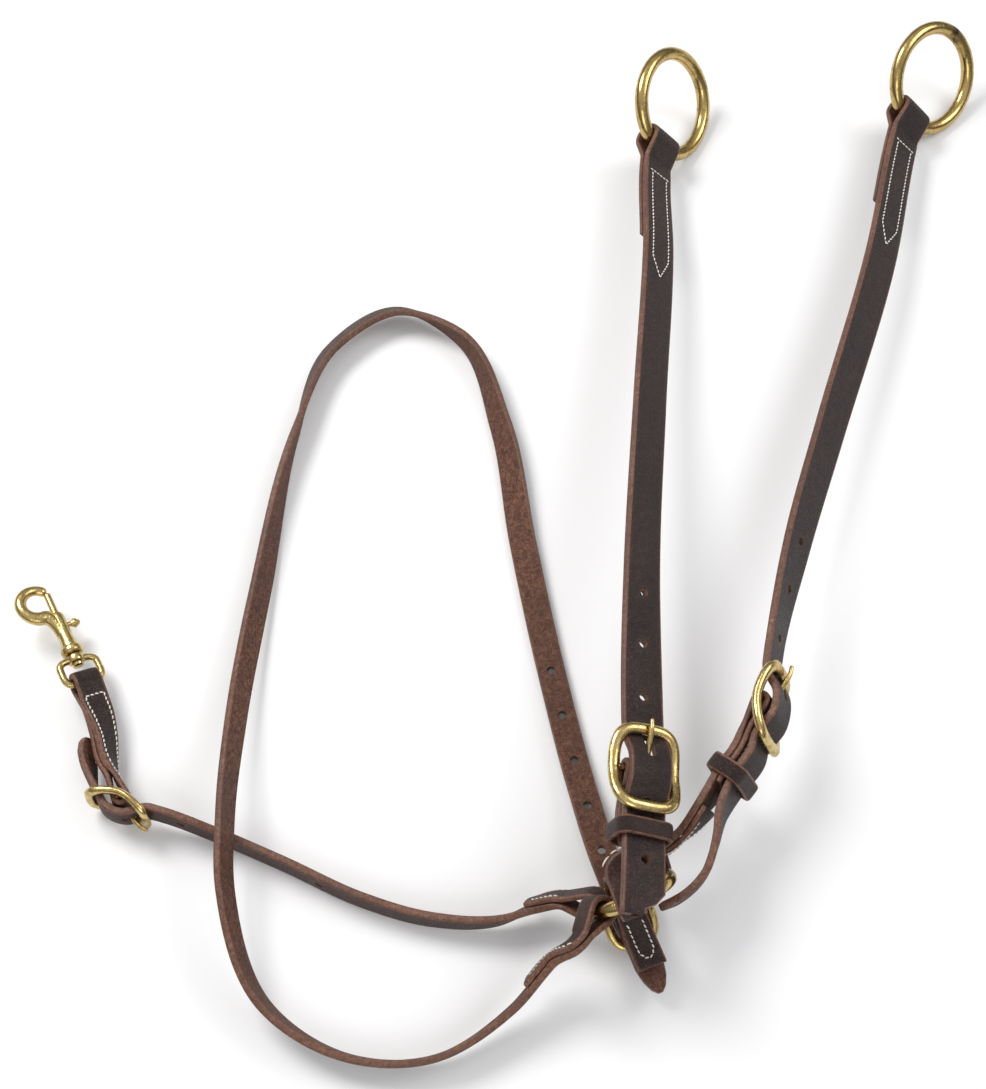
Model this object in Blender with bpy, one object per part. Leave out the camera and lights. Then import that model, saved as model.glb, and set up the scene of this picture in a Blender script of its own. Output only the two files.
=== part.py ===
"""A running martingale in harness leather with brass rings, buckles and snap, laid out on a table.

Lengths below are in millimetres and become metres when a piece is finished. Straps are cut flat,
punched, then laid along their route. +Z is up, and the breast end of the straps lies towards -Y.
"""
import math

import bmesh
import bpy
import numpy as np
from mathutils import Matrix, Vector

MM = 0.001
LEATHER = 3.4          # thickness of every strap
SKIVED = 2.5           # thickness where leather turns round metal and is sewn back
PLY_GAP = 0.3          # between two plies of leather, and between leather and metal
EDGE = 0.45            # bevelled strap edge
FORK_WIDTH = 19.0
NARROW_WIDTH = 12.7    # neck strap, chest strap and snap tab
RING_END_WIDTH = 11.0  # what turns round the centre ring is narrowed to this
HOLE_RADIUS = 2.4
HOLE_PITCH = 25.4
FOLD_REACH = 12.0      # from the metal to where the two plies meet

REIN_RING = {"radius": 25.4, "wire": 3.4}
CENTRE_RING = {"radius": 18.0, "wire": 3.0, "centre": (56.4, -174.9, 33.3)}
RING_RIGHT = Vector((0.91, 0.414, 0.0)).normalized()
RING_UP = Vector((0.162, -0.356, 0.921)).normalized()
RING_OUT = RING_RIGHT.cross(RING_UP)

BIG_BUCKLE = {"half": 17.5, "inner": 25.7, "wire": 2.1, "bar": 1.6, "pin": 1.3}
SMALL_BUCKLE = {"half": 13.6, "inner": 16.4, "wire": 1.9, "bar": 1.5, "pin": 1.2}
BUCKLE_LIFT = 4.8      # end bars stand this much in front of the centre bar
BUCKLE_CORNER = 0.42   # 1 is an oval frame, 0 a square one
BAR_CROWN = 7.0        # strap over the centre bar
PIN_SEAT = (0.55, 4.6)   # where the pin passes through the strap: share of the half length, height
PIN_PLAY = 1.3         # a pin's slot is this much wider than the pin
NARROW_PIN_PLAY = 1.1
TAIL_SLOTS = {"fork": 13.0, "narrow": 9.4}
FOLD_SLOTS = {"fork_billet": 22.0, "neck_chape": 15.0, "snap_tab": 25.0}
NARROW_PITCH = 22.1    # between the holes of the neck and chest straps
RING_SEAT = 1.1        # a rein ring's wire sits this far into its fold
PIN_GAP = 0.25         # between a curled pin and its bar

COLLECTION = bpy.data.collections.new("martingale")
CUTTERS = bpy.data.collections.new("cutters")


def clear_scene():
    for thing in list(bpy.data.objects):
        bpy.data.objects.remove(thing, do_unlink=True)
    bpy.context.scene.collection.children.link(COLLECTION)
    bpy.context.scene.collection.children.link(CUTTERS)


def make_material(name, colour, metallic, roughness):
    material = bpy.data.materials.new(name)
    material.use_nodes = True
    shader = material.node_tree.nodes["Principled BSDF"]
    shader.inputs["Base Color"].default_value = (*colour, 1.0)
    shader.inputs["Metallic"].default_value = metallic
    shader.inputs["Roughness"].default_value = roughness
    return material


clear_scene()
LEATHER_MAT = make_material("harness_leather", (0.055, 0.03, 0.024), 0.0, 0.5)
BRASS_MAT = make_material("solid_brass", (0.66, 0.45, 0.16), 1.0, 0.3)
SPRING_MAT = make_material("spring_steel", (0.5, 0.5, 0.5), 1.0, 0.35)


def add_object(name, mesh, material, smooth=True, collection=None):
    thing = bpy.data.objects.new(name, mesh)
    (collection or COLLECTION).objects.link(thing)
    mesh.materials.clear()
    mesh.materials.append(material)
    for face in mesh.polygons:
        face.use_smooth = smooth
    return thing


def set_cutter(thing):
    thing.hide_render = True
    thing.display_type = "WIRE"


def mesh_from(bm, name):
    bmesh.ops.recalc_face_normals(bm, faces=bm.faces)
    mesh = bpy.data.meshes.new(name)
    bm.to_mesh(mesh)
    bm.free()
    return mesh


def combine(thing, other, operation):
    """Applies one exact Boolean and drops the other solid."""
    modifier = thing.modifiers.new("cut", "BOOLEAN")
    modifier.operation = operation
    modifier.solver = "EXACT"
    modifier.object = other
    graph = bpy.context.evaluated_depsgraph_get()
    result = bpy.data.meshes.new_from_object(thing.evaluated_get(graph))
    thing.modifiers.remove(modifier)
    old = thing.data
    thing.data = result
    bpy.data.meshes.remove(old)
    bpy.data.objects.remove(other, do_unlink=True)


def smooth_route(points, step=1.0, leave=None, arrive=None):
    """Passes a smooth line through the points; extra columns such as lean follow along."""
    pts = np.array(points, float)
    count = len(pts)
    chord = np.linalg.norm(np.diff(pts[:, :3], axis=0), axis=1)
    slope = np.zeros_like(pts)
    for i in range(count):
        if 0 < i < count - 1:
            before, after = chord[i - 1], chord[i]
            slope[i] = ((pts[i] - pts[i - 1]) / before * after
                        + (pts[i + 1] - pts[i]) / after * before) / (before + after)
        elif i == 0:
            slope[i] = (pts[1] - pts[0]) / chord[0]
        else:
            slope[i] = (pts[-1] - pts[-2]) / chord[-1]
    if leave is not None:
        slope[0, :3] = leave
    if arrive is not None:
        slope[-1, :3] = arrive
    rows = []
    for i in range(count - 1):
        pieces = max(2, int(chord[i] / step))
        for t in np.linspace(0, 1, pieces, endpoint=False):
            a = 2 * t ** 3 - 3 * t ** 2 + 1
            b = t ** 3 - 2 * t ** 2 + t
            c = -2 * t ** 3 + 3 * t ** 2
            d = t ** 3 - t ** 2
            rows.append(a * pts[i] + b * chord[i] * slope[i]
                        + c * pts[i + 1] + d * chord[i] * slope[i + 1])
    rows.append(pts[-1])
    return np.array(rows)


def unit_rows(rows):
    return rows / np.linalg.norm(rows, axis=1, keepdims=True)


def tangents(places):
    return unit_rows(np.gradient(places, axis=0))


def widths_from_lean(places, lean):
    """Turns lean (0 flat with the grain up, 90 on edge with the grain to the left) into directions."""
    along = tangents(places)
    right = unit_rows(np.cross(along, (0.0, 0.0, 1.0)))
    up = np.cross(right, along)
    angle = np.radians(lean)[:, None]
    return np.cos(angle) * right + np.sin(angle) * up


def lean_of(width, along):
    right = Vector(along).cross(Vector((0, 0, 1))).normalized()
    up = right.cross(Vector(along).normalized())
    return math.degrees(math.atan2(width.dot(up), width.dot(right)))


def blend(low, high, where):
    t = np.clip((where - low) / (high - low), 0, 1)
    return t * t * (3 - 2 * t)


class Fold:
    """Where a strap turns round metal: its place, the way it leaves, its width and the bend inside."""

    def __init__(self, place, leave, width, inner, end_width, sewn, reach=FOLD_REACH):
        self.reach = reach
        self.place = Vector(place)
        self.leave = Vector(leave).normalized()
        self.width = Vector(width)
        self.width = (self.width - self.leave * self.width.dot(self.leave)).normalized()
        self.inner = inner
        self.end_width = end_width
        self.sewn = sewn

    def grain(self):
        return self.width.cross(self.leave)

    def main_start(self):
        offset = (LEATHER + SKIVED) / 4 + PLY_GAP / 2
        return self.place + self.leave * self.reach + self.grain() * offset


def add_fold(route, fold):
    """Adds the turn round the metal and the ply sewn back under it, before the route's first point."""
    places, width, wide, thick = route
    ply = (LEATHER + SKIVED) / 2 + PLY_GAP
    grain = np.cross(width, tangents(places))
    steps = np.concatenate([[0], np.cumsum(np.linalg.norm(np.diff(places, axis=0), axis=1))])
    wide = wide * (1 - blend(26, 8, steps)) + fold.end_width * blend(26, 8, steps)
    thick = thick * (1 - blend(6, 0, steps)) + SKIVED * blend(6, 0, steps)
    kept = steps <= fold.sewn - fold.reach
    back = (places - grain * ply)[kept][::-1]
    leave, out = np.array(fold.leave), np.array(fold.grain())
    radius = fold.inner + SKIVED / 2
    reach = math.hypot(fold.reach, ply / 2)
    touch = math.atan2(ply / 2, fold.reach) + math.acos(radius / reach)
    turn = []
    for angle in np.linspace(-touch, -2 * math.pi + touch, 40):
        turn.append(np.array(fold.place) + radius * (math.cos(angle) * leave + math.sin(angle) * out))
    turn = np.array(turn)
    line = np.linspace(0, 1, 12)[1:-1, None]
    down = back[-1] + (turn[0] - back[-1]) * line
    up = turn[-1] + (places[0] - turn[-1]) * line
    bend = np.concatenate([down, turn, up])
    constant = np.tile(np.array(fold.width), (len(bend), 1))
    return (np.concatenate([back, bend, places]),
            np.concatenate([width[kept][::-1], constant, width]),
            np.concatenate([wide[kept][::-1], np.full(len(bend), fold.end_width), wide]),
            np.concatenate([np.full(len(back), SKIVED), np.full(len(bend), SKIVED), thick]))


def backwards(route):
    places, width, wide, thick = route
    return places[::-1], -width[::-1], wide[::-1], thick[::-1]


def even_out(route, step=0.5, soften=5):
    """Spaces the route evenly and takes the sharpness off where its lengths join."""
    places, width, wide, thick = route
    far = np.concatenate([[0], np.cumsum(np.linalg.norm(np.diff(places, axis=0), axis=1))])
    keep = np.concatenate([[True], np.diff(far) > 1e-6])
    far, places, width, wide, thick = far[keep], places[keep], width[keep], wide[keep], thick[keep]
    even = np.linspace(0, far[-1], int(far[-1] / step) + 1)
    cols = np.column_stack([places, width, wide, thick])
    cols = np.column_stack([np.interp(even, far, cols[:, i]) for i in range(cols.shape[1])])
    kernel = np.ones(soften) / soften
    pad = soften // 2
    eased = cols.copy()
    for i in range(cols.shape[1]):
        eased[pad:-pad, i] = np.convolve(cols[:, i], kernel, "valid")
    return eased


def lay_route(points, start=None, end=None, width=NARROW_WIDTH):
    """Makes the whole run of a strap: points are (x, y, z, lean), with a fold at either end."""
    rows = [list(p) for p in points]
    leave = arrive = None
    if start:
        place = start.main_start()
        rows.insert(0, [*place, lean_of(start.width, start.leave)])
        leave = np.array(start.leave)
    if end:
        place = end.main_start()
        rows.append([*place, lean_of(-end.width, -end.leave)])
        arrive = -np.array(end.leave)
    leans = np.degrees(np.unwrap(np.radians([row[3] for row in rows])))
    rows = [[*row[:3], lean] for row, lean in zip(rows, leans)]
    line = smooth_route(rows, leave=leave, arrive=arrive)
    sides = widths_from_lean(line[:, :3], line[:, 3])
    route = (line[:, :3], sides, np.full(len(line), width), np.full(len(line), LEATHER))
    if start:
        route = add_fold(route, start)
    if end:
        route = backwards(add_fold(backwards(route), end))
    return even_out(route)


def choose_stations(cols, turn=0.25, longest=18.0, extra=()):
    along = tangents(cols[:, :3])
    side = unit_rows(cols[:, 3:6])
    step = np.linalg.norm(cols[1, :3] - cols[0, :3])
    chosen, last = [0], 0
    wanted = {int(round(x / step)) for x in extra}
    for i in range(1, len(cols) - 1):
        bent = math.acos(min(1, max(-1, float(along[i] @ along[last]))))
        twisted = math.acos(min(1, max(-1, float(side[i] @ side[last]))))
        if i in wanted or bent > turn or twisted > turn or (i - last) * step > longest:
            chosen.append(i)
            last = i
    chosen.append(len(cols) - 1)
    return chosen


def section(left, right, thick):
    """Strap section with its four long edges taken off: (across, through) pairs."""
    t = thick / 2
    e = min(EDGE, (left + right) / 4)
    return [(right - e, -t), (right, -t + e), (right, t - e), (right - e, t),
            (-left + e, t), (-left, t - e), (-left, -t + e), (-left + e, -t)]


def loft(bm, rings, closed=False):
    loops = [[bm.verts.new(p) for p in ring] for ring in rings]
    pairs = list(zip(loops, loops[1:])) + ([(loops[-1], loops[0])] if closed else [])
    for one, two in pairs:
        for k in range(len(one)):
            m = (k + 1) % len(one)
            bm.faces.new((one[k], one[m], two[m], two[k]))
    if not closed:
        bm.faces.new(loops[0][::-1])
        bm.faces.new(loops[-1])


def tip_fractions(tip, gap):
    if not tip or gap >= tip[-1][0]:
        return 1.0, 1.0
    where = [row[0] for row in tip]
    return (float(np.interp(gap, where, [row[1] for row in tip])),
            float(np.interp(gap, where, [row[2] for row in tip])))


def make_strap(name, cols, holes=(), slots=(), tip=(), start_tip=()):
    """Cuts the strap flat, punches it, then lays it along its route.

    holes are distances along the strap, slots are (centre, length, width), tip and start_tip are
    (distance from the end, left part, right part) rows that shape the end.
    """
    step = np.linalg.norm(cols[1, :3] - cols[0, :3])
    total = step * (len(cols) - 1)
    extra = [total - row[0] for row in tip] + [row[0] for row in start_tip]
    picked = choose_stations(cols, extra=[x for x in extra if 0 < x < total])
    bm = bmesh.new()
    rings = []
    for i in picked:
        x = i * step
        left, right = tip_fractions(tip, total - x)
        if start_tip and x < start_tip[-1][0]:
            left, right = tip_fractions(start_tip, x)
        half = cols[i, 6] / 2
        rings.append([(x, a, t) for a, t in section(half * left, half * right, cols[i, 7])])
    loft(bm, rings)
    strap = add_object(name, mesh_from(bm, name), LEATHER_MAT, smooth=False)
    cut = bmesh.new()
    for place in holes:
        bmesh.ops.create_cone(cut, cap_ends=True, segments=14, radius1=HOLE_RADIUS, radius2=HOLE_RADIUS,
                              depth=LEATHER * 3, matrix=Matrix.Translation((place, 0, 0)))
    for centre, length, wide in slots:
        low, high = centre - length / 2, centre + length / 2
        inside = [i * step for i in picked if low + 0.2 < i * step < high - 0.2]
        rings = [[(x, wide / 2, -9), (x, wide / 2, 9), (x, -wide / 2, 9), (x, -wide / 2, -9)]
                 for x in [low, *inside, high]]
        loft(cut, rings)
    if holes or slots:
        cutter = add_object(name + "_punch", mesh_from(cut, name), LEATHER_MAT, collection=CUTTERS)
        set_cutter(cutter)
        combine(strap, cutter, "DIFFERENCE")
    else:
        cut.free()
    bend_to_route(strap, cols, step)


def bend_to_route(strap, cols, step):
    along = tangents(cols[:, :3])
    side = cols[:, 3:6] - along * np.sum(cols[:, 3:6] * along, axis=1, keepdims=True)
    side = unit_rows(side)
    grain = np.cross(side, along)
    bm = bmesh.new()
    bm.from_mesh(strap.data)
    bmesh.ops.triangulate(bm, faces=bm.faces)
    for vert in bm.verts:
        where = min(max(vert.co.x / step, 0), len(cols) - 1)
        low = min(int(where), len(cols) - 2)
        t = where - low
        place = cols[low, :3] * (1 - t) + cols[low + 1, :3] * t
        s = side[low] * (1 - t) + side[low + 1] * t
        g = grain[low] * (1 - t) + grain[low + 1] * t
        vert.co = Vector(place + vert.co.y * s / np.linalg.norm(s) + vert.co.z * g / np.linalg.norm(g))
    if bm.calc_volume(signed=True) < 0:
        bmesh.ops.reverse_faces(bm, faces=bm.faces)
    bm.to_mesh(strap.data)
    bm.free()


def strap_length(cols):
    return np.linalg.norm(np.diff(cols[:, :3], axis=0), axis=1).sum()


def nearest_along(cols, place):
    gaps = np.linalg.norm(cols[:, :3] - np.array(place), axis=1)
    step = np.linalg.norm(cols[1, :3] - cols[0, :3])
    return float(np.argmin(gaps)) * step


def wire_solid(name, points, radius, closed, sides=3, material=None):
    """A round rod along the points, made as a bevelled curve."""
    curve = bpy.data.curves.new(name, "CURVE")
    curve.dimensions = "3D"
    curve.bevel_depth = radius
    curve.bevel_resolution = sides
    curve.use_fill_caps = not closed
    line = curve.splines.new("POLY")
    line.points.add(len(points) - 1)
    for spot, place in zip(line.points, points):
        spot.co = (*place, 1.0)
    line.use_cyclic_u = closed
    rod = bpy.data.objects.new(name, curve)
    COLLECTION.objects.link(rod)
    graph = bpy.context.evaluated_depsgraph_get()
    mesh = bpy.data.meshes.new_from_object(rod.evaluated_get(graph))
    bpy.data.objects.remove(rod, do_unlink=True)
    bm = bmesh.new()
    bm.from_mesh(mesh)
    bmesh.ops.remove_doubles(bm, verts=bm.verts, dist=0.0001)
    bpy.data.meshes.remove(mesh)
    return add_object(name, mesh_from(bm, name), material or BRASS_MAT)


def ring_solid(name, centre, right, up, radius, wire, segments=40):
    places = []
    for i in range(segments):
        angle = 2 * math.pi * i / segments
        out = math.cos(angle) * Vector(right) + math.sin(angle) * Vector(up)
        places.append(Vector(centre) + radius * out)
    return wire_solid(name, places, wire, True)


class BuckleFrame:
    """Where a buckle sits: u runs towards the standing strap, n out of its front, v across."""

    def __init__(self, place, towards, lean, size):
        self.place = Vector(place)
        self.u = Vector(towards).normalized()
        along = -self.u
        right = along.cross(Vector((0, 0, 1))).normalized()
        up = right.cross(along)
        angle = math.radians(lean)
        self.v = right * math.cos(angle) + up * math.sin(angle)
        self.n = self.v.cross(along)
        self.size = size

    def at(self, u, n, v=0.0):
        return self.place + self.u * u + self.n * n + self.v * v

    def strap_points(self, lean, reach):
        """The strap's line through the buckle: under one end bar, over the centre bar, under the other."""
        half = self.size["half"]
        shape = [(1.25, -0.3), (0.95, 0.2), (0.68, 2.8), (0.36, 6.1)]
        rows = [(reach, -0.5)] + [(half * u, n) for u, n in shape]
        rows += [(0, BAR_CROWN)] + [(-half * u, n) for u, n in reversed(shape)]
        return [(*self.at(u, n), lean) for u, n in rows]


def make_buckle(name, spot):
    """Centre-bar buckle: a bowed frame with a bar across its waist."""
    size = spot.size
    half_wide = size["inner"] / 2 + size["wire"]
    places = []
    for i in range(36):
        angle = 2 * math.pi * i / 36
        u = math.copysign(abs(math.cos(angle)) ** BUCKLE_CORNER, math.cos(angle)) * size["half"]
        v = math.copysign(abs(math.sin(angle)) ** BUCKLE_CORNER, math.sin(angle)) * half_wide
        places.append(spot.at(u, BUCKLE_LIFT * abs(u / size["half"]) ** 1.5, v))
    frame = wire_solid(name, places, size["wire"], True)
    ends = [spot.at(0, 0, half_wide * side) for side in (-1, 1)]
    bar = wire_solid(name + "_bar", ends, size["bar"], False)
    combine(frame, bar, "UNION")
    return frame


def make_tongue(name, spot):
    """Tongue: a pin curled round the centre bar, its point resting on the end bar."""
    size = spot.size
    pin, half = size["pin"], size["half"]
    curl = size["bar"] + PIN_GAP + pin
    rows = [(curl * math.cos(a), curl * math.sin(a)) for a in np.radians(np.arange(-30, -271, -20))]
    top = BUCKLE_LIFT + size["wire"] + pin + 0.3
    rows += [(half * 0.2, curl + 0.1), (half * 0.45, curl + 1.3), (half * 0.76, top - 1.4),
             (half, top), (half + 2.4, top + 0.1)]
    return wire_solid(name, [spot.at(u, n) for u, n in rows], pin, False, sides=3)


def make_keeper(name, centre, along, across, through, inner_wide, inner_high, length=8.0, thick=2.2):
    """Keeper: a band of leather closed round the strap and its tail."""
    a, b = inner_wide / 2 + thick / 2, inner_high / 2 + thick / 2
    corner = 2.6
    rings = []
    for sx, sy, base in ((1, 1, 0), (-1, 1, 90), (-1, -1, 180), (1, -1, 270)):
        for k in range(4):
            angle = math.radians(base + 30 * k)
            out = Vector((math.cos(angle), math.sin(angle)))
            mid = Vector((sx * (a - corner), sy * (b - corner))) + out * corner
            ring = []
            for along_part, out_part in section(length / 2, length / 2, thick):
                spot = mid + out * out_part
                ring.append(centre + across * spot.x + through * spot.y + along * along_part)
            rings.append(ring)
    bm = bmesh.new()
    loft(bm, rings, closed=True)
    return add_object(name, mesh_from(bm, name), LEATHER_MAT)


def on_centre_ring(degrees):
    """Place, outward direction and wire direction at an angle round the centre ring."""
    angle = math.radians(degrees)
    out = RING_RIGHT * math.cos(angle) + RING_UP * math.sin(angle)
    wire = RING_UP * math.cos(angle) - RING_RIGHT * math.sin(angle)
    return Vector(CENTRE_RING["centre"]) + out * (CENTRE_RING["radius"] - 0.5), out, wire


RING_FOLD_INNER = CENTRE_RING["wire"] + 1.15


def bar_fold(spot, sewn, width):
    """Fold of a billet round a buckle's centre bar, leaving away from the standing strap."""
    leave = -spot.u * 0.95 - spot.n * 0.31
    return Fold(spot.place, leave, -spot.v, spot.size["bar"] + 0.4, width, sewn)


FORK_BUCKLES = {
    "left": BuckleFrame((62.6, -128.3, 52.4), (0.03, 0.996, -0.08), 22, BIG_BUCKLE),
    "right": BuckleFrame((117.5, -95.4, 38.0), (0.22, 0.97, -0.05), 66, BIG_BUCKLE),
}
REIN_RINGS = {
    "left": {"fold": (84.6, 217.1, 19.7), "leave": (-0.13, -0.99, 0.03), "lean": 46,
             "face": (0.716, -0.382, 0.583)},
    "right": {"fold": (215.6, 237.5, 16.6), "leave": (-0.30, -0.95, 0.03), "lean": 41,
              "face": (0.53, -0.583, 0.611)},
}
# straps between the rein ring and the buckle, (x, y, z, lean)
FORK_LAYS = {
    "left": [(82, 151, 25, 40), (74, 61, 32, 38), (66, -34.5, 43.2, 34)],
    "right": [(192, 146, 22, 36), (158, 46, 28, 44), (138, -14, 32, 52)],
}
# the tail past the buckle
FORK_TAILS = {
    "left": [(61.0, -167.3, 56.2, 22), (59.5, -190.8, 59.3, 18)],
    "right": [(102.6, -130, 36.4, 71), (96.5, -141, 35.4, 78), (93.5, -153, 33.6, 86),
              (87.5, -167.5, 31.0, 92), (77.5, -176.4, 29.6, 96), (69.5, -180, 29.6, 98)],
}
TAIL_TIPS = {
    "left": [(0.0, -0.55, 1.0), (6.0, 0.62, 1.0), (10.5, 1.0, 1.0)],
    "right": [(0.0, 0.3, 0.3), (3.0, 0.7, 0.7), (8.0, 1.0, 1.0)],
}
REIN_FOLD_INNER = REIN_RING["wire"] + 1.6
REIN_SEWN = 62.0


def make_fork(side):
    ring, spot = REIN_RINGS[side], FORK_BUCKLES[side]
    leave = Vector(ring["leave"]).normalized()
    right = leave.cross(Vector((0, 0, 1))).normalized()
    lean = math.radians(ring["lean"])
    across = right * math.cos(lean) + right.cross(leave) * math.sin(lean)
    face = Vector(ring["face"]).normalized()
    wire = (across - face * across.dot(face)).normalized()
    away = wire.cross(face)
    away *= -math.copysign(1, away.dot(leave))
    pivot = Vector(ring["fold"])
    ring_solid(f"rein_ring_{side}", pivot + away * (REIN_RING["radius"] - RING_SEAT), wire, away,
               REIN_RING["radius"], REIN_RING["wire"], segments=32)
    fold = Fold(pivot, leave, across, REIN_FOLD_INNER, FORK_WIDTH, REIN_SEWN)
    buckle_lean = lean_of(spot.v, -spot.u)
    points = FORK_LAYS[side] + spot.strap_points(buckle_lean, 30) + FORK_TAILS[side]
    cols = lay_route(points, start=fold, width=FORK_WIDTH)
    total = strap_length(cols)
    pulled = nearest_along(cols, spot.at(spot.size["half"] * PIN_SEAT[0], PIN_SEAT[1]))
    holes = [pulled + HOLE_PITCH * k for k in (-3, -2, -1, 1, 2)]
    if total - pulled > HOLE_PITCH * 3 + 14:
        holes.append(pulled + HOLE_PITCH * 3)
    slot = (pulled, TAIL_SLOTS["fork"], 2 * spot.size["pin"] + PIN_PLAY)
    make_strap(f"fork_strap_{side}", cols, holes=holes, slots=[slot],
               tip=TAIL_TIPS[side])
    make_buckle(f"fork_buckle_{side}", spot)
    make_tongue(f"fork_tongue_{side}", spot)
    return cols


# billets from the centre ring to the fork buckles, (x, y, z, lean) of the outer ply
BILLETS = {
    "left": {"angle": 104, "leave": (-1.0, -0.35), "sewn": 27.0, "lay": [], "beside": (35, 29, 23)},
    "right": {"angle": 325, "leave": (-1.0, 0.6), "sewn": 42.0,
              "lay": [(72.5, -151.2, 26.5, 66)], "beside": (46, 41, 36, 31, 26)},
}
BESIDE = LEATHER + SKIVED + 2 * PLY_GAP + 1.0  # from the tail to the billet's outer ply


def make_billet(side, tail):
    rule, spot = BILLETS[side], FORK_BUCKLES[side]
    place, out, wire = on_centre_ring(rule["angle"])
    leave = RING_OUT * rule["leave"][0] + out * rule["leave"][1]
    ring_fold = Fold(place, leave, wire, RING_FOLD_INNER, RING_END_WIDTH, rule["sewn"])
    points = list(rule["lay"])
    for reach in rule["beside"]:
        at, along, across, through = tail_frame(side, tail, reach)
        points.append((*(at - through * BESIDE), lean_of(across, -along)))
    buckle_fold = bar_fold(spot, rule["sewn"], FORK_WIDTH)
    cols = lay_route(points, start=ring_fold, end=buckle_fold, width=FORK_WIDTH)
    middle = nearest_along(cols, spot.at(BIG_BUCKLE["bar"] + 2, 0))
    slot = (middle, FOLD_SLOTS["fork_billet"], 2 * spot.size["pin"] + PIN_PLAY)
    make_strap(f"fork_billet_{side}", cols, slots=[slot])


def tail_frame(side, tail, reach):
    """Place and directions on the tail, a distance past the buckle's bar."""
    spot = FORK_BUCKLES[side]
    step = np.linalg.norm(tail[1, :3] - tail[0, :3])
    index = int((nearest_along(tail, spot.at(0, BAR_CROWN)) + reach) / step)
    along = Vector(tangents(tail[:, :3])[index])
    across = Vector(tail[index, 3:6])
    across = (across - along * across.dot(along)).normalized()
    return Vector(tail[index, :3]), along, across, across.cross(along)


KEEPERS = {"left": 28.0, "right": 38.0}  # from the centre bar, along the tail


def make_fork_keeper(side, tail):
    """Wraps the tail and both plies of the billet."""
    at, along, across, through = tail_frame(side, tail, KEEPERS[side])
    centre = at - through * BESIDE / 2
    make_keeper(f"fork_keeper_{side}", centre, along, across, through, FORK_WIDTH + 2.4,
                BESIDE + LEATHER + 2.6)


NECK_FOLD_ANGLE = 158  # round the centre ring
NECK_BUCKLE = BuckleFrame((56.7, -176.7, 9.6), (-0.36, 0.93, 0.0), 180, SMALL_BUCKLE)
NECK_LAY = [(24, -203, 25, 104), (8, -219, 14.5, 102), (-24, -238, 9.6, 99), (-62, -237, 8.4, 101),
            (-95, -217, 11.5, 108), (-113, -171, 21.0, 112), (-115, -138, 22.0, 112),
            (-114, -92, 15.0, 120), (-107, -24, 8.6, 122), (-95, 56, 8.2, 84),
            (-79, 103, 8.4, 52), (-48, 124, 8.6, 50),
            (-16, 109, 8.2, 92), (4, 60, 6.6, 132), (14, 0, 3.8, 160), (28, -72, 3.0, 175),
            (39.5, -122, 5.0, 180)]


def make_neck():
    place, out, wire = on_centre_ring(NECK_FOLD_ANGLE)
    leave = out + RING_OUT * 0.5
    ring_fold = Fold(place, leave, -wire, RING_FOLD_INNER, RING_END_WIDTH, 48.0)
    spot = NECK_BUCKLE
    lean = lean_of(spot.v, -spot.u)
    tail = [(*spot.at(-26, -0.6), lean), (*spot.at(-37, -0.9), lean)]
    points = NECK_LAY + spot.strap_points(lean, 20) + tail
    cols = lay_route(points, start=ring_fold)
    pulled = nearest_along(cols, spot.at(spot.size["half"] * PIN_SEAT[0], PIN_SEAT[1]))
    holes = [pulled - NARROW_PITCH * k for k in range(1, 6)]
    slot = (pulled, TAIL_SLOTS["narrow"], 2 * spot.size["pin"] + NARROW_PIN_PLAY)
    make_strap("neck_strap", cols, holes=holes, slots=[slot],
               tip=[(0.0, 0.18, 0.18), (2.0, 0.5, 0.5), (6.0, 0.8, 0.8), (12.0, 1.0, 1.0)])
    make_buckle("neck_buckle", spot)
    make_tongue("neck_tongue", spot)


def make_neck_chape():
    """Short billet sewn round the buckle's bar and the centre ring together, its plies over the tail."""
    spot = NECK_BUCKLE
    ring = Vector(CENTRE_RING["centre"]) - RING_UP * CENTRE_RING["radius"] - spot.place
    ring_u, ring_n = ring.dot(spot.u), ring.dot(spot.n)
    ring_bend = CENTRE_RING["wire"] + 1.25 + SKIVED / 2
    bar_bend = spot.size["bar"] + PLY_GAP + SKIVED / 2
    gap, tilt = math.hypot(ring_u, ring_n), math.atan2(ring_n, ring_u)
    touch = tilt + math.acos((bar_bend - ring_bend) / gap)
    rows = [(-27, -7.8), (-19, -7.6), (-12, -7.5)]
    for angle in np.linspace(math.radians(-100), touch, 14):
        rows.append((ring_u + ring_bend * math.cos(angle), ring_n + ring_bend * math.sin(angle)))
    for angle in np.linspace(touch, math.radians(122), 8):
        rows.append((bar_bend * math.cos(angle), bar_bend * math.sin(angle)))
    rows += [(-12, -3.9), (-19, -4.25), (-24, -4.4)]
    line = smooth_route([spot.at(u, n) for u, n in rows], step=0.7)
    thick = np.full(len(line), SKIVED)
    upper = np.arange(len(line)) < len(line) / 2
    thick[upper & ((line - np.array(spot.place)) @ np.array(spot.u) < -8)] = LEATHER
    width = np.tile(-np.array(spot.v), (len(line), 1))
    far = (line - np.array(spot.place)) @ np.array(spot.u)
    wide = np.interp(far, (-2, 5), (NARROW_WIDTH, RING_END_WIDTH - 1))
    cols = even_out((line, width, wide, thick), soften=7)
    bend = nearest_along(cols, spot.at(0.4, bar_bend))
    slot = (bend, FOLD_SLOTS["neck_chape"], 2 * spot.size["pin"] + PIN_PLAY)
    make_strap("neck_chape", cols, slots=[slot])


CHEST_FOLD_ANGLE = 213
CHEST_BUCKLE = BuckleFrame((-161.5, -129.0, 12.6), (0.93, -0.36, 0.0), 84, SMALL_BUCKLE)
CHEST_LAY = [(18, -176.5, 13.8, 112), (3, -181, 10.6, 96), (-27, -180, 8.2, 86), (-55, -172, 7.6, 84),
             (-90, -156, 7.4, 84), (-122, -142.5, 8.4, 84)]
CHEST_TAIL = [(-177.6, -113.5, 12.4, 104), (-179.8, -100.5, 12.6, 118)]


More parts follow.
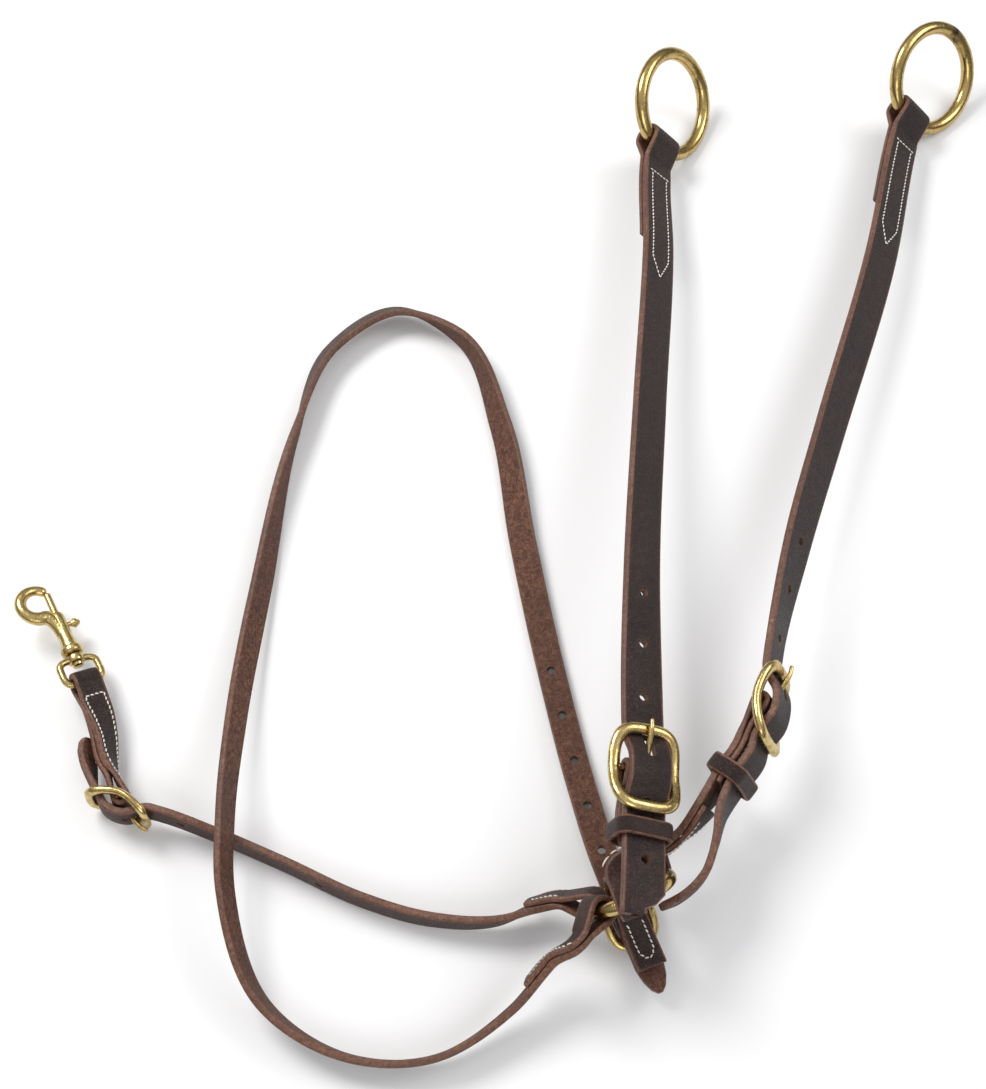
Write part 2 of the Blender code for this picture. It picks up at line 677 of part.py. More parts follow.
def make_chest():
    place, out, wire = on_centre_ring(CHEST_FOLD_ANGLE)
    leave = out - RING_OUT * 0.5
    ring_fold = Fold(place, leave, -wire, RING_FOLD_INNER, RING_END_WIDTH, 30.0)
    spot = CHEST_BUCKLE
    lean = lean_of(spot.v, -spot.u)
    points = CHEST_LAY + spot.strap_points(lean, 19)[:-1] + CHEST_TAIL
    cols = lay_route(points, start=ring_fold)
    pulled = nearest_along(cols, spot.at(spot.size["half"] * PIN_SEAT[0], PIN_SEAT[1]))
    holes = [pulled - NARROW_PITCH * k for k in (1, 2, 4)]
    slot = (pulled, TAIL_SLOTS["narrow"], 2 * spot.size["pin"] + NARROW_PIN_PLAY)
    make_strap("chest_strap", cols, holes=holes, slots=[slot],
               tip=[(0.0, 0.3, 0.3), (2.5, 0.7, 0.7), (7.0, 1.0, 1.0)])
    make_buckle("chest_buckle", spot)
    make_tongue("chest_tongue", spot)


SNAP_EYE = {"centre": (-185.0, -69.0, 14.5), "wide": 8.8, "low": 6.4, "high": 5.8, "wire": 1.6}
SNAP_SCALE = 1.18
SNAP_UP = Vector((-0.46, 0.888, 0.0)).normalized()
SNAP_SIDE = Vector((0.82, 0.425, -0.38)).normalized()


def make_tab():
    spot = CHEST_BUCKLE
    eye = Vector(SNAP_EYE["centre"]) - SNAP_UP * SNAP_EYE["low"]
    buckle_fold = Fold(spot.place, -spot.u * 0.75 - spot.n * 0.66, -spot.v, spot.size["bar"] + 0.4,
                       NARROW_WIDTH, 30.0)
    eye_fold = Fold(eye, -SNAP_UP, -SNAP_SIDE, SNAP_EYE["wire"] + 1.55, NARROW_WIDTH, 30.0)
    cols = lay_route([(-168.8, -109.5, 12.8, -70), (-171.2, -98.5, 13.4, -54)],
                     start=buckle_fold, end=eye_fold)
    bend = nearest_along(cols, spot.at(spot.size["bar"] + 1.5, 0))
    slot = (bend, FOLD_SLOTS["snap_tab"], 2 * spot.size["pin"] + PIN_PLAY + 0.4)
    make_strap("snap_tab", cols, slots=[slot])


def snap_at(along, side, front=0.0):
    base = Vector(SNAP_EYE["centre"]) + SNAP_UP * SNAP_EYE["high"]
    out = SNAP_UP * along + SNAP_SIDE * side + SNAP_SIDE.cross(SNAP_UP) * front
    return base + out * SNAP_SCALE


def snap_rod(name, points, radius, closed=False, sides=3, material=None):
    return wire_solid(name, [snap_at(*p) for p in points], radius * SNAP_SCALE, closed, sides, material)


def turned(name, profile, segments=20):
    """A round solid about the snap's axis: profile rows are (along, radius)."""
    bm = bmesh.new()
    rings = []
    for along, radius in profile:
        ring = []
        for i in range(segments):
            angle = 2 * math.pi * i / segments
            ring.append(snap_at(along, radius * math.cos(angle), radius * math.sin(angle)))
        rings.append(ring)
    loft(bm, rings)
    return add_object(name, mesh_from(bm, name), BRASS_MAT)


def make_snap():
    eye = SNAP_EYE
    spread = 32
    places = []
    for i in range(spread):
        angle = math.radians(-90 + 360 * i / spread)
        reach = eye["high"] if math.sin(angle) > 0 else eye["low"]
        side = math.copysign(abs(math.cos(angle)) ** 0.5, math.cos(angle)) * eye["wide"]
        along = math.copysign(abs(math.sin(angle)) ** 0.5, math.sin(angle)) * reach
        places.append(Vector(eye["centre"]) + SNAP_UP * along + SNAP_SIDE * side)
    loop = wire_solid("snap_eye", places, eye["wire"], True)
    combine(loop, turned("boss", [(-1.7, 2.6), (-1.3, 3.2), (1.5, 3.2), (1.9, 2.7)]), "UNION")
    combine(loop, turned("bore", [(-6, 1.75), (6, 1.75)]), "DIFFERENCE")

    body = turned("snap_body", [(-3.2, 1.5), (-2.9, 2.2), (-2.1, 2.4), (-2.05, 1.5), (2.15, 1.5),
                                (2.2, 3.7), (3.2, 4.3), (4.8, 4.3), (5.6, 3.3), (18.5, 3.1), (20.0, 2.8),
                                (21.0, 2.4)])
    hook = []
    for degrees in np.arange(58, 291, 12.5):
        angle = math.radians(degrees)
        hook.append((27.0 + 6.2 * math.sin(angle), -5.2 + 6.2 * math.cos(angle)))
    combine(body, snap_rod("hook", hook + [(18.5, -1.5), (15.5, -0.6)], 2.0), "UNION")
    combine(body, turned("well", [(5.0, 1.7), (26, 1.7)]), "DIFFERENCE")
    for side in (2.0, 3.2):
        combine(body, snap_rod("slot", [(9.0, side), (17.0, side)], 1.3), "DIFFERENCE")

    bolt = turned("snap_bolt", [(12.0, 1.2), (12.3, 1.45), (29.3, 1.45), (29.8, 1.1)], segments=16)
    combine(bolt, snap_rod("stem", [(15.4, 0), (15.4, 5.2)], 0.95), "UNION")
    combine(bolt, snap_rod("knob", [(15.4, 4.6), (15.4, 6.6)], 1.8), "UNION")
    coil = []
    for i in range(41):
        angle = 2 * math.pi * 5 * i / 40
        coil.append((5.6 + 5.9 * i / 40, 1.05 * math.cos(angle), 1.05 * math.sin(angle)))
    snap_rod("snap_spring", coil, 0.28, sides=1, material=SPRING_MAT)


def make_all():
    ring_solid("centre_ring", CENTRE_RING["centre"], RING_RIGHT, RING_UP, CENTRE_RING["radius"],
               CENTRE_RING["wire"], segments=32)
    for side in ("left", "right"):
        cols = make_fork(side)
        make_billet(side, cols)
        make_fork_keeper(side, cols)
    make_neck()
    make_neck_chape()
    make_chest()
    make_tab()
    make_snap()


def set_down():
    """Puts the middle of the underside at the origin and turns millimetres into metres."""
    places = np.array([v.co for thing in COLLECTION.objects for v in thing.data.vertices])
    low, high = places.min(axis=0), places.max(axis=0)
    move = Vector((-(low[0] + high[0]) / 2, -(low[1] + high[1]) / 2, -low[2]))
    for thing in COLLECTION.objects:
        thing.data.transform(Matrix.Scale(MM, 4) @ Matrix.Translation(move))
    return move


make_all()
MOVE = set_down()
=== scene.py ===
import math

import bmesh
import bpy
import numpy as np
from mathutils import Matrix, Vector


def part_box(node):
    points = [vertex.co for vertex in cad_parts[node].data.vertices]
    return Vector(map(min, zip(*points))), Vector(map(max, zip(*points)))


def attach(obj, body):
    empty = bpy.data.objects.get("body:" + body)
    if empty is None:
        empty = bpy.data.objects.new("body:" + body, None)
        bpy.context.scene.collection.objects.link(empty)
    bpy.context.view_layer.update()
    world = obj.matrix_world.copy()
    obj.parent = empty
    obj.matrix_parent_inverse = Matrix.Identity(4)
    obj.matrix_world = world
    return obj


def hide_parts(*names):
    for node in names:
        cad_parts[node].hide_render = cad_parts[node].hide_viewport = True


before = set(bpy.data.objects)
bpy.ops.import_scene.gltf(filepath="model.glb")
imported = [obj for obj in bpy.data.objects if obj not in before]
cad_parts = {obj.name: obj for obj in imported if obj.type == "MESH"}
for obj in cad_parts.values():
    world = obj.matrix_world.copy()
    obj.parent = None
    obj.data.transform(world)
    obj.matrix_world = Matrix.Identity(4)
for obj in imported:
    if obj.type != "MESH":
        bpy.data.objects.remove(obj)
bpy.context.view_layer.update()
print("frame loaded:", len(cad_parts), "solids")

# leather and wire sizes in millimetres; a piece turns into metres when its mesh is made
leather = {"thick": 3.4, "skived": 2.5, "gap": 0.3, "grainRound": 1.1, "fleshRound": 0.7,
           "forkWidth": 19.0, "narrowWidth": 12.7, "ringEndWidth": 11.0,
           "holeRadius": 1.95, "holePitch": 25.4, "narrowPitch": 25.4 * 0.87,
           "punchDepth": 14.0, "foldReach": 12.0, "lap": 62.0,
           "crown": 0.12, "pinPlay": 1.3, "narrowPinPlay": 1.1}
reinRing = {"radius": 25.4, "wire": 3.4}
centreRing = {"radius": 18.0, "wire": 3.0, "centre": (56.4, -174.9, 33.3)}
ringRight = Vector((0.91, 0.414, 0.0)).normalized()
ringUp = Vector((0.162, -0.356, 0.921)).normalized()
ringOut = ringRight.cross(ringUp)

boxLow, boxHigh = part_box("centre_ring")
toFrame = (boxLow + boxHigh) / 2 - Vector(centreRing["centre"]) * 0.001  # from the table's middle


def toMetres(places):
    return np.asarray(places, float) * 0.001 + np.array(toFrame)


# shader nodes; the two groups put out masks and heights only

def newGroup(name, inputs, outputs):
    group = bpy.data.node_groups.new(name, "ShaderNodeTree")
    for label, kind, value in inputs:
        socket = group.interface.new_socket(label, in_out="INPUT", socket_type=kind)
        socket.default_value = value
    for label, kind in outputs:
        group.interface.new_socket(label, in_out="OUTPUT", socket_type=kind)
    start = group.nodes.new("NodeGroupInput")
    end = group.nodes.new("NodeGroupOutput")
    return group, start, end


def addNode(tree, kind, settings=None, **links):
    node = tree.nodes.new(kind)
    for key, value in (settings or {}).items():
        if key in node.inputs:
            node.inputs[key].default_value = value
        else:
            setattr(node, key, value)
    for key, source in links.items():
        tree.links.new(source, node.inputs[key.replace("_", " ")])
    return node


def mathNode(tree, operation, first, second=None):
    node = tree.nodes.new("ShaderNodeMath")
    node.operation = operation
    for slot, value in zip(node.inputs, (first, second)):
        if value is None:
            continue
        if isinstance(value, (int, float)):
            slot.default_value = value
        else:
            tree.links.new(value, slot)
    return node.outputs[0]


def times(tree, first, second):
    return mathNode(tree, "MULTIPLY", first, second)


def plus(tree, first, second):
    return mathNode(tree, "ADD", first, second)


def less(tree, first, second):
    return mathNode(tree, "SUBTRACT", first, second)


def rampNode(tree, source, stops, easing="LINEAR"):
    node = tree.nodes.new("ShaderNodeValToRGB")
    node.color_ramp.interpolation = easing
    while len(node.color_ramp.elements) < len(stops):
        node.color_ramp.elements.new(0.5)
    for element, (place, colour) in zip(node.color_ramp.elements, stops):
        element.position = place
        element.color = (*colour, 1.0) if len(colour) == 3 else colour
    tree.links.new(source, node.inputs[0])
    return node.outputs[0]


def maskNode(tree, source, low, high, easing="LINEAR"):
    return rampNode(tree, source, [(low, (0, 0, 0)), (high, (1, 1, 1))], easing)


def mixColour(tree, share, first, second, blendType="MIX"):
    node = tree.nodes.new("ShaderNodeMix")
    node.data_type = "RGBA"
    node.blend_type = blendType
    for slot, value in ((node.inputs[0], share), (node.inputs[6], first), (node.inputs[7], second)):
        if isinstance(value, (int, float)):
            slot.default_value = value
        elif isinstance(value, tuple):
            slot.default_value = (*value, 1.0)
        else:
            tree.links.new(value, slot)
    return node.outputs[2]


def noiseNode(tree, vector, scale, detail=4.0, rough=0.55, distortion=0.0):
    return addNode(tree, "ShaderNodeTexNoise",
                   {"Scale": scale, "Detail": detail, "Roughness": rough, "Distortion": distortion},
                   Vector=vector).outputs[0]


def makeGrainGroup():
    # pebbled grain with fine pores and hair-thin creases; height and a darker mask in the valleys
    group, start, end = newGroup("leatherGrain",
                                 [("Place", "NodeSocketVector", (0, 0, 0)),
                                  ("Size", "NodeSocketFloat", 900.0),
                                  ("Crease", "NodeSocketFloat", 0.0)],
                                 [("Height", "NodeSocketFloat"), ("Valley", "NodeSocketFloat")])
    place, size = start.outputs["Place"], start.outputs["Size"]
    warp = addNode(group, "ShaderNodeTexNoise", {"Scale": 260.0, "Detail": 3.0}, Vector=place)
    push = group.nodes.new("ShaderNodeVectorMath")
    push.operation = "MULTIPLY_ADD"
    group.links.new(warp.outputs[1], push.inputs[0])
    push.inputs[1].default_value = (0.0016, 0.0016, 0.0016)
    group.links.new(place, push.inputs[2])
    cells = addNode(group, "ShaderNodeTexVoronoi", {"feature": "DISTANCE_TO_EDGE"}, Vector=push.outputs[0],
                    Scale=size)
    pebble = maskNode(group, cells.outputs[0], 0.0, 0.22, "EASE")
    pores = addNode(group, "ShaderNodeTexNoise", {"Scale": 2600.0, "Detail": 3.0, "Roughness": 0.6},
                    Vector=place)
    poreMask = maskNode(group, pores.outputs[0], 0.34, 0.46)
    lines = addNode(group, "ShaderNodeTexNoise", {"Scale": 420.0, "Detail": 6.0, "Roughness": 0.62,
                                                   "Distortion": 1.4}, Vector=place)
    fold = rampNode(group, lines.outputs[0],
                    [(0.46, (1, 1, 1)), (0.5, (0, 0, 0)), (0.54, (1, 1, 1))], "EASE")
    creased = times(group, less(group, 1.0, fold), start.outputs["Crease"])
    height = times(group, pebble, 0.6)
    height = plus(group, height, times(group, poreMask, 0.4))
    height = less(group, height, times(group, creased, 0.9))
    valley = less(group, 1.0, pebble)
    valley = mathNode(group, "MAXIMUM", times(group, valley, 0.8), creased)
    group.links.new(height, end.inputs["Height"])
    group.links.new(valley, end.inputs["Valley"])
    return group


def makeWearGroup():
    # cloudy handling wear: broad patches, small scuffs and long fine scratches
    group, start, end = newGroup("handlingWear",
                                 [("Place", "NodeSocketVector", (0, 0, 0)),
                                  ("Amount", "NodeSocketFloat", 1.0)],
                                 [("Patches", "NodeSocketFloat"), ("Scuffs", "NodeSocketFloat"),
                                  ("Scratches", "NodeSocketFloat")])
    place = start.outputs["Place"]
    patches = noiseNode(group, place, 38.0, 5.0, 0.6, 0.4)
    patches = maskNode(group, patches, 0.36, 0.66, "EASE")
    scuffs = noiseNode(group, place, 320.0, 6.0, 0.7)
    scuffs = maskNode(group, scuffs, 0.54, 0.7)
    thin = group.nodes.new("ShaderNodeMapping")
    thin.inputs["Scale"].default_value = (1.0, 0.06, 1.0)
    thin.inputs["Rotation"].default_value = (0.2, 0.1, 0.5)
    group.links.new(place, thin.inputs["Vector"])
    scratches = noiseNode(group, thin.outputs[0], 1500.0, 3.0, 0.6)
    scratches = maskNode(group, scratches, 0.6, 0.68)
    amount = start.outputs["Amount"]
    group.links.new(times(group, patches, amount), end.inputs["Patches"])
    group.links.new(times(group, scuffs, amount), end.inputs["Scuffs"])
    group.links.new(times(group, scratches, amount), end.inputs["Scratches"])
    return group


grainGroup = makeGrainGroup()
wearGroup = makeWearGroup()


def newMaterial(name):
    material = bpy.data.materials.new(name)
    material.use_nodes = True
    tree = material.node_tree
    place = tree.nodes.new("ShaderNodeTexCoord").outputs["Object"]
    return material, tree, tree.nodes["Principled BSDF"], place


def attributeOf(tree, name):
    node = tree.nodes.new("ShaderNodeAttribute")
    node.attribute_name = name
    return node.outputs["Fac"]


def useGroup(tree, group, place, **values):
    node = tree.nodes.new("ShaderNodeGroup")
    node.node_tree = group
    tree.links.new(place, node.inputs["Place"])
    for key, value in values.items():
        if isinstance(value, (int, float)):
            node.inputs[key].default_value = value
        else:
            tree.links.new(value, node.inputs[key])
    return node.outputs


def addBump(tree, shader, height, strength, distance):
    bump = addNode(tree, "ShaderNodeBump", {"Strength": strength, "Distance": distance}, Height=height)
    tree.links.new(bump.outputs[0], shader.inputs["Normal"])


def makeGrainLeather(name, finish):
    material, tree, shader, place = newMaterial(name)
    bent, edge = attributeOf(tree, "bent"), attributeOf(tree, "edgeNear")
    grain = useGroup(tree, grainGroup, place, Size=finish["grainSize"], Crease=bent)
    wear = useGroup(tree, wearGroup, place)
    colour = mixColour(tree, wear["Patches"], finish["dark"], finish["bloom"])
    mottle = rampNode(tree, noiseNode(tree, place, 300.0, 7.0, 0.72, 0.4),
                      [(0.34, (0.72, 0.7, 0.7)), (0.5, (1.0, 1.0, 1.0)), (0.68, (1.45, 1.4, 1.36))])
    colour = mixColour(tree, 1.0, colour, mottle, "MULTIPLY")
    colour = mixColour(tree, times(tree, grain["Valley"], 0.5), colour,
                       finish["valley"])
    rubbed = plus(tree, times(tree, wear["Scuffs"], 0.7), 0.3)
    rubbed = times(tree, edge, rubbed)
    colour = mixColour(tree, times(tree, rubbed, finish["edgeWear"]), colour, finish["worn"])
    cracked = times(tree, bent, times(tree, wear["Scuffs"], 0.5))
    colour = mixColour(tree, cracked, colour, finish["worn"])
    tree.links.new(colour, shader.inputs["Base Color"])
    handled = times(tree, wear["Patches"], 0.14)
    rough = plus(tree, finish["rough"], handled)
    rough = plus(tree, rough, times(tree, grain["Valley"], 0.12))
    tree.links.new(rough, shader.inputs["Roughness"])
    shader.inputs["Specular IOR Level"].default_value = 0.36
    height = less(tree, grain["Height"],
                      times(tree, wear["Scratches"], 0.35))
    addBump(tree, shader, height, finish["bump"], 0.0006)
    return material


def makeFleshLeather(name, finish):
    # cut side: short fibres, blotchy red-brown, some darker oil marks
    material, tree, shader, place = newMaterial(name)
    wear = useGroup(tree, wearGroup, place)
    fibres = noiseNode(tree, place, 1500.0, 8.0, 0.75, 0.6)
    tufts = noiseNode(tree, place, 480.0, 6.0, 0.7, 1.2)
    speckle = rampNode(tree, tufts, [(0.38, finish["deep"]), (0.5, finish["body"]), (0.64, finish["pale"])])
    oiled = times(tree, wear["Patches"], 0.45)
    colour = mixColour(tree, oiled, speckle, finish["oiled"])
    fine = rampNode(tree, fibres, [(0.36, (0.62, 0.62, 0.62)), (0.62, (1.18, 1.18, 1.18))])
    colour = mixColour(tree, 1.0, colour, fine, "MULTIPLY")
    tree.links.new(colour, shader.inputs["Base Color"])
    rough = less(tree, 0.78, times(tree, wear["Patches"], 0.12))
    tree.links.new(rough, shader.inputs["Roughness"])
    shader.inputs["Specular IOR Level"].default_value = 0.35
    height = plus(tree, times(tree, fibres, 0.7),
                      times(tree, tufts, 0.6))
    addBump(tree, shader, height, finish["bump"], 0.0005)
    return material


def makeEdgeLeather(name, finish):
    # burnished cut edge: layered fibres under wax, darker where the dye took
    material, tree, shader, place = newMaterial(name)
    wear = useGroup(tree, wearGroup, place)
    layers = noiseNode(tree, place, 700.0, 7.0, 0.7, 0.8)
    colour = rampNode(tree, layers,
                      [(0.34, finish["deep"]), (0.52, finish["body"]), (0.68, finish["pale"])])
    oiled = times(tree, wear["Patches"], 0.5)
    colour = mixColour(tree, oiled, colour, finish["oiled"])
    tree.links.new(colour, shader.inputs["Base Color"])
    rough = plus(tree, 0.46, times(tree, wear["Scuffs"], 0.25))
    tree.links.new(rough, shader.inputs["Roughness"])
    shader.inputs["Specular IOR Level"].default_value = 0.4
    addBump(tree, shader, layers, finish["bump"], 0.0004)
    return material


def makeBrass(name, finish):
    material, tree, shader, place = newMaterial(name)
    wear = useGroup(tree, wearGroup, place)
    stain = attributeOf(tree, "stain")
    cloud = noiseNode(tree, place, 170.0, 7.0, 0.72, 0.8)
    cloud = maskNode(tree, cloud, 0.44, 0.66, "EASE")
    film = times(tree, cloud, finish["tarnish"])
    pitted = maskNode(tree, noiseNode(tree, place, 900.0, 4.0, 0.6), 0.62, 0.74)
    film = mathNode(tree, "MAXIMUM", film, times(tree, pitted, finish["tarnish"] * 0.8))
    colour = mixColour(tree, film, finish["bright"], finish["dull"])
    handled = times(tree, wear["Patches"], 0.35)
    colour = mixColour(tree, handled, colour, finish["warm"])
    burnt = times(tree, stain, plus(tree, 0.75, cloud))
    colour = mixColour(tree, mathNode(tree, "MINIMUM", burnt, 1.0), colour, finish["burnt"])
    tree.links.new(colour, shader.inputs["Base Color"])
    rough = plus(tree, finish["rough"], times(tree, film, 0.22))
    rough = plus(tree, rough, times(tree, wear["Scratches"], 0.1))
    rough = plus(tree, rough, times(tree, stain, 0.2))
    tree.links.new(rough, shader.inputs["Roughness"])
    shader.inputs["Metallic"].default_value = 1.0
    cast = noiseNode(tree, place, 240.0, 4.0, 0.5)
    height = less(tree, times(tree, cast, 0.8),
                      times(tree, wear["Scratches"], 0.12))
    height = less(tree, height, times(tree, pitted, 0.2))
    addBump(tree, shader, height, finish["bump"], 0.0005)
    return material


def makeThread(name, finish):
    material, tree, shader, place = newMaterial(name)
    twist = addNode(tree, "ShaderNodeTexWave", {"Scale": 900.0, "Distortion": 1.5, "Detail": 2.0},
                    Vector=place).outputs[1]
    grime = noiseNode(tree, place, 160.0, 4.0)
    grime = maskNode(tree, grime, 0.45, 0.75)
    soiled = times(tree, grime, finish["grime"])
    colour = mixColour(tree, soiled, finish["clean"], finish["dirty"])
    tree.links.new(colour, shader.inputs["Base Color"])
    shader.inputs["Roughness"].default_value = 0.75
    addBump(tree, shader, twist, 0.5, 0.0002)
    return material


oiledFinish = {"dark": (0.024, 0.0125, 0.0108), "bloom": (0.046, 0.027, 0.0235),
               "valley": (0.010, 0.0055, 0.005), "worn": (0.13, 0.056, 0.036),
               "grainSize": 780.0, "edgeWear": 0.5, "rough": 0.40, "bump": 0.85}
redFinish = {"dark": (0.046, 0.0215, 0.0165), "bloom": (0.078, 0.039, 0.030),
             "valley": (0.018, 0.008, 0.006), "worn": (0.19, 0.088, 0.055),
             "grainSize": 820.0, "edgeWear": 0.6, "rough": 0.42, "bump": 0.8}
fleshFinish = {"deep": (0.062, 0.024, 0.0145), "body": (0.128, 0.053, 0.032), "pale": (0.225, 0.105, 0.066),
               "oiled": (0.066, 0.028, 0.018), "bump": 0.9}
edgeFinish = {"deep": (0.070, 0.028, 0.018), "body": (0.155, 0.068, 0.042), "pale": (0.27, 0.14, 0.092),
              "oiled": (0.072, 0.034, 0.024), "bump": 0.6}
ringFinish = {"bright": (0.60, 0.44, 0.175), "dull": (0.20, 0.13, 0.05), "warm": (0.42, 0.285, 0.1),
              "burnt": (0.035, 0.026, 0.02), "tarnish": 0.7, "rough": 0.17, "bump": 0.25}
castFinish = {"bright": (0.66, 0.50, 0.215), "dull": (0.23, 0.15, 0.058), "warm": (0.48, 0.34, 0.125),
              "burnt": (0.10, 0.07, 0.05), "tarnish": 0.75, "rough": 0.2, "bump": 0.4}
oiledGrain = makeGrainLeather("oiledGrain", oiledFinish)
redGrain = makeGrainLeather("redGrain", redFinish)
fleshSide = makeFleshLeather("fleshSide", fleshFinish)
burnishedEdge = makeEdgeLeather("burnishedEdge", edgeFinish)
ringBrass = makeBrass("ringBrass", ringFinish)
castBrass = makeBrass("castBrass", castFinish)
waxedThread = makeThread("waxedThread", {"clean": (0.80, 0.77, 0.70), "dirty": (0.42, 0.36, 0.29),
                                         "grime": 0.5})
springSteel = makeBrass("springSteel", {"bright": (0.55, 0.55, 0.56), "dull": (0.3, 0.3, 0.3),
                                        "warm": (0.5, 0.49, 0.47), "burnt": (0.1, 0.1, 0.1),
                                        "tarnish": 0.3, "rough": 0.3, "bump": 0.2})
print("materials made")


# routes: the same laid lines as the frame's straps, in millimetres from the middle of the table

def blendOver(low, high, where):
    t = np.clip((where - low) / (high - low), 0, 1)
    return t * t * (3 - 2 * t)


def unitRows(rows):
    return rows / np.linalg.norm(rows, axis=1, keepdims=True)


def alongRoute(places):
    return unitRows(np.gradient(places, axis=0))


def distancesAlong(places):
    return np.concatenate([[0], np.cumsum(np.linalg.norm(np.diff(places, axis=0), axis=1))])


def evenLoop(places, count):
    loop = np.array([*places, places[0]])
    far = distancesAlong(loop)
    along = np.linspace(0, far[-1], count + 1)[:-1]
    return np.column_stack([np.interp(along, far, loop[:, i]) for i in range(3)])


def smoothRoute(points, step=1.0, leave=None, arrive=None):
    pts = np.array(points, float)
    count = len(pts)
    chord = np.linalg.norm(np.diff(pts[:, :3], axis=0), axis=1)
    slope = np.zeros_like(pts)
    for i in range(count):
        if 0 < i < count - 1:
            before, after = chord[i - 1], chord[i]
            slope[i] = ((pts[i] - pts[i - 1]) / before * after
                        + (pts[i + 1] - pts[i]) / after * before) / (before + after)
        elif i == 0:
            slope[i] = (pts[1] - pts[0]) / chord[0]
        else:
            slope[i] = (pts[-1] - pts[-2]) / chord[-1]
    if leave is not None:
        slope[0, :3] = leave
    if arrive is not None:
        slope[-1, :3] = arrive
    rows = []
    for i in range(count - 1):
        for t in np.linspace(0, 1, max(2, int(chord[i] / step)), endpoint=False):
            fromHere = (2 * t ** 3 - 3 * t ** 2 + 1) * pts[i]
            toNext = (3 * t ** 2 - 2 * t ** 3) * pts[i + 1]
            leaving = (t ** 3 - 2 * t ** 2 + t) * chord[i] * slope[i]
            arriving = (t ** 3 - t ** 2) * chord[i] * slope[i + 1]
            rows.append(fromHere + leaving + toNext + arriving)
    rows.append(pts[-1])
    return np.array(rows)


def widthsFromLean(places, lean):
    # lean 0 lies flat with the grain up, 90 stands on edge with the grain to the left
    along = alongRoute(places)
    right = unitRows(np.cross(along, (0.0, 0.0, 1.0)))
    up = np.cross(right, along)
    angle = np.radians(lean)[:, None]
    return np.cos(angle) * right + np.sin(angle) * up


def leanOf(width, along):
    right = Vector(along).cross(Vector((0, 0, 1))).normalized()
    up = right.cross(Vector(along).normalized())
    return math.degrees(math.atan2(Vector(width).dot(up), Vector(width).dot(right)))


class Fold:
    # where a strap turns round metal and is sewn back on itself
    def __init__(self, place, leave, width, inner, endWidth, sewn):
        self.place, self.leave, self.width = Vector(place), Vector(leave).normalized(), Vector(width)
        self.width = (self.width - self.leave * self.width.dot(self.leave)).normalized()
        self.inner, self.endWidth, self.sewn, self.reach = inner, endWidth, sewn, leather["foldReach"]

    def grain(self):
        return self.width.cross(self.leave)

    def mainStart(self):
        offset = (leather["thick"] + leather["skived"]) / 4 + leather["gap"] / 2
        return self.place + self.leave * self.reach + self.grain() * offset


def addFold(route, fold):
    places, width, wide, thick = route
    ply = (leather["thick"] + leather["skived"]) / 2 + leather["gap"]
    grain = np.cross(width, alongRoute(places))
    steps = distancesAlong(places)
    narrow = blendOver(26, 8, steps)
    wide = wide * (1 - narrow) + fold.endWidth * narrow
    thin = blendOver(6, 0, steps)
    thick = thick * (1 - thin) + leather["skived"] * thin
    kept = steps <= fold.sewn - fold.reach
    back = (places - grain * ply)[kept][::-1]
    leave, out = np.array(fold.leave), np.array(fold.grain())
    radius = fold.inner + leather["skived"] / 2
    reach = math.hypot(fold.reach, ply / 2)
    touch = math.atan2(ply / 2, fold.reach) + math.acos(radius / reach)
    turn = [np.array(fold.place) + radius * (math.cos(a) * leave + math.sin(a) * out)
            for a in np.linspace(-touch, -2 * math.pi + touch, 40)]
    turn = np.array(turn)
    line = np.linspace(0, 1, 12)[1:-1, None]
    bend = np.concatenate([back[-1] + (turn[0] - back[-1]) * line, turn,
                           turn[-1] + (places[0] - turn[-1]) * line])
    constant = np.tile(np.array(fold.width), (len(bend), 1))
    return (np.concatenate([back, bend, places]), np.concatenate([width[kept][::-1], constant, width]),
            np.concatenate([wide[kept][::-1], np.full(len(bend), fold.endWidth), wide]),
            np.concatenate([np.full(len(back) + len(bend), leather["skived"]), thick]))


def turnRound(route):
    places, width, wide, thick = route
    return places[::-1], -width[::-1], wide[::-1], thick[::-1]


def evenOut(route, step=0.5, soften=5):
    places, width, wide, thick = route
    far = distancesAlong(places)
    keep = np.concatenate([[True], np.diff(far) > 1e-6])
    cols = np.column_stack([places, width, wide, thick])[keep]
    even = np.linspace(0, far[-1], int(far[-1] / step) + 1)
    cols = np.column_stack([np.interp(even, far[keep], cols[:, i]) for i in range(cols.shape[1])])
    kernel, pad, eased = np.ones(soften) / soften, soften // 2, cols.copy()
    for i in range(cols.shape[1]):
        eased[pad:-pad, i] = np.convolve(cols[:, i], kernel, "valid")
    return eased


def layRoute(points, start=None, end=None, width=12.7):
    rows, leave, arrive = [list(p) for p in points], None, None
    if start:
        rows.insert(0, [*start.mainStart(), leanOf(start.width, start.leave)])
        leave = np.array(start.leave)
    if end:
        rows.append([*end.mainStart(), leanOf(-end.width, -end.leave)])
        arrive = -np.array(end.leave)
    leans = np.degrees(np.unwrap(np.radians([row[3] for row in rows])))
    line = smoothRoute([[*row[:3], lean] for row, lean in zip(rows, leans)], leave=leave, arrive=arrive)
    route = (line[:, :3], widthsFromLean(line[:, :3], line[:, 3]), np.full(len(line), width),
             np.full(len(line), leather["thick"]))
    if start:
        route = addFold(route, start)
    if end:
        route = turnRound(addFold(turnRound(route), end))
    return evenOut(route)


def stepOf(cols):
    return float(np.linalg.norm(cols[1, :3] - cols[0, :3]))


def lengthOf(cols):
    return float(np.linalg.norm(np.diff(cols[:, :3], axis=0), axis=1).sum())


def nearestAlong(cols, place):
    return float(np.argmin(np.linalg.norm(cols[:, :3] - np.array(place), axis=1))) * stepOf(cols)


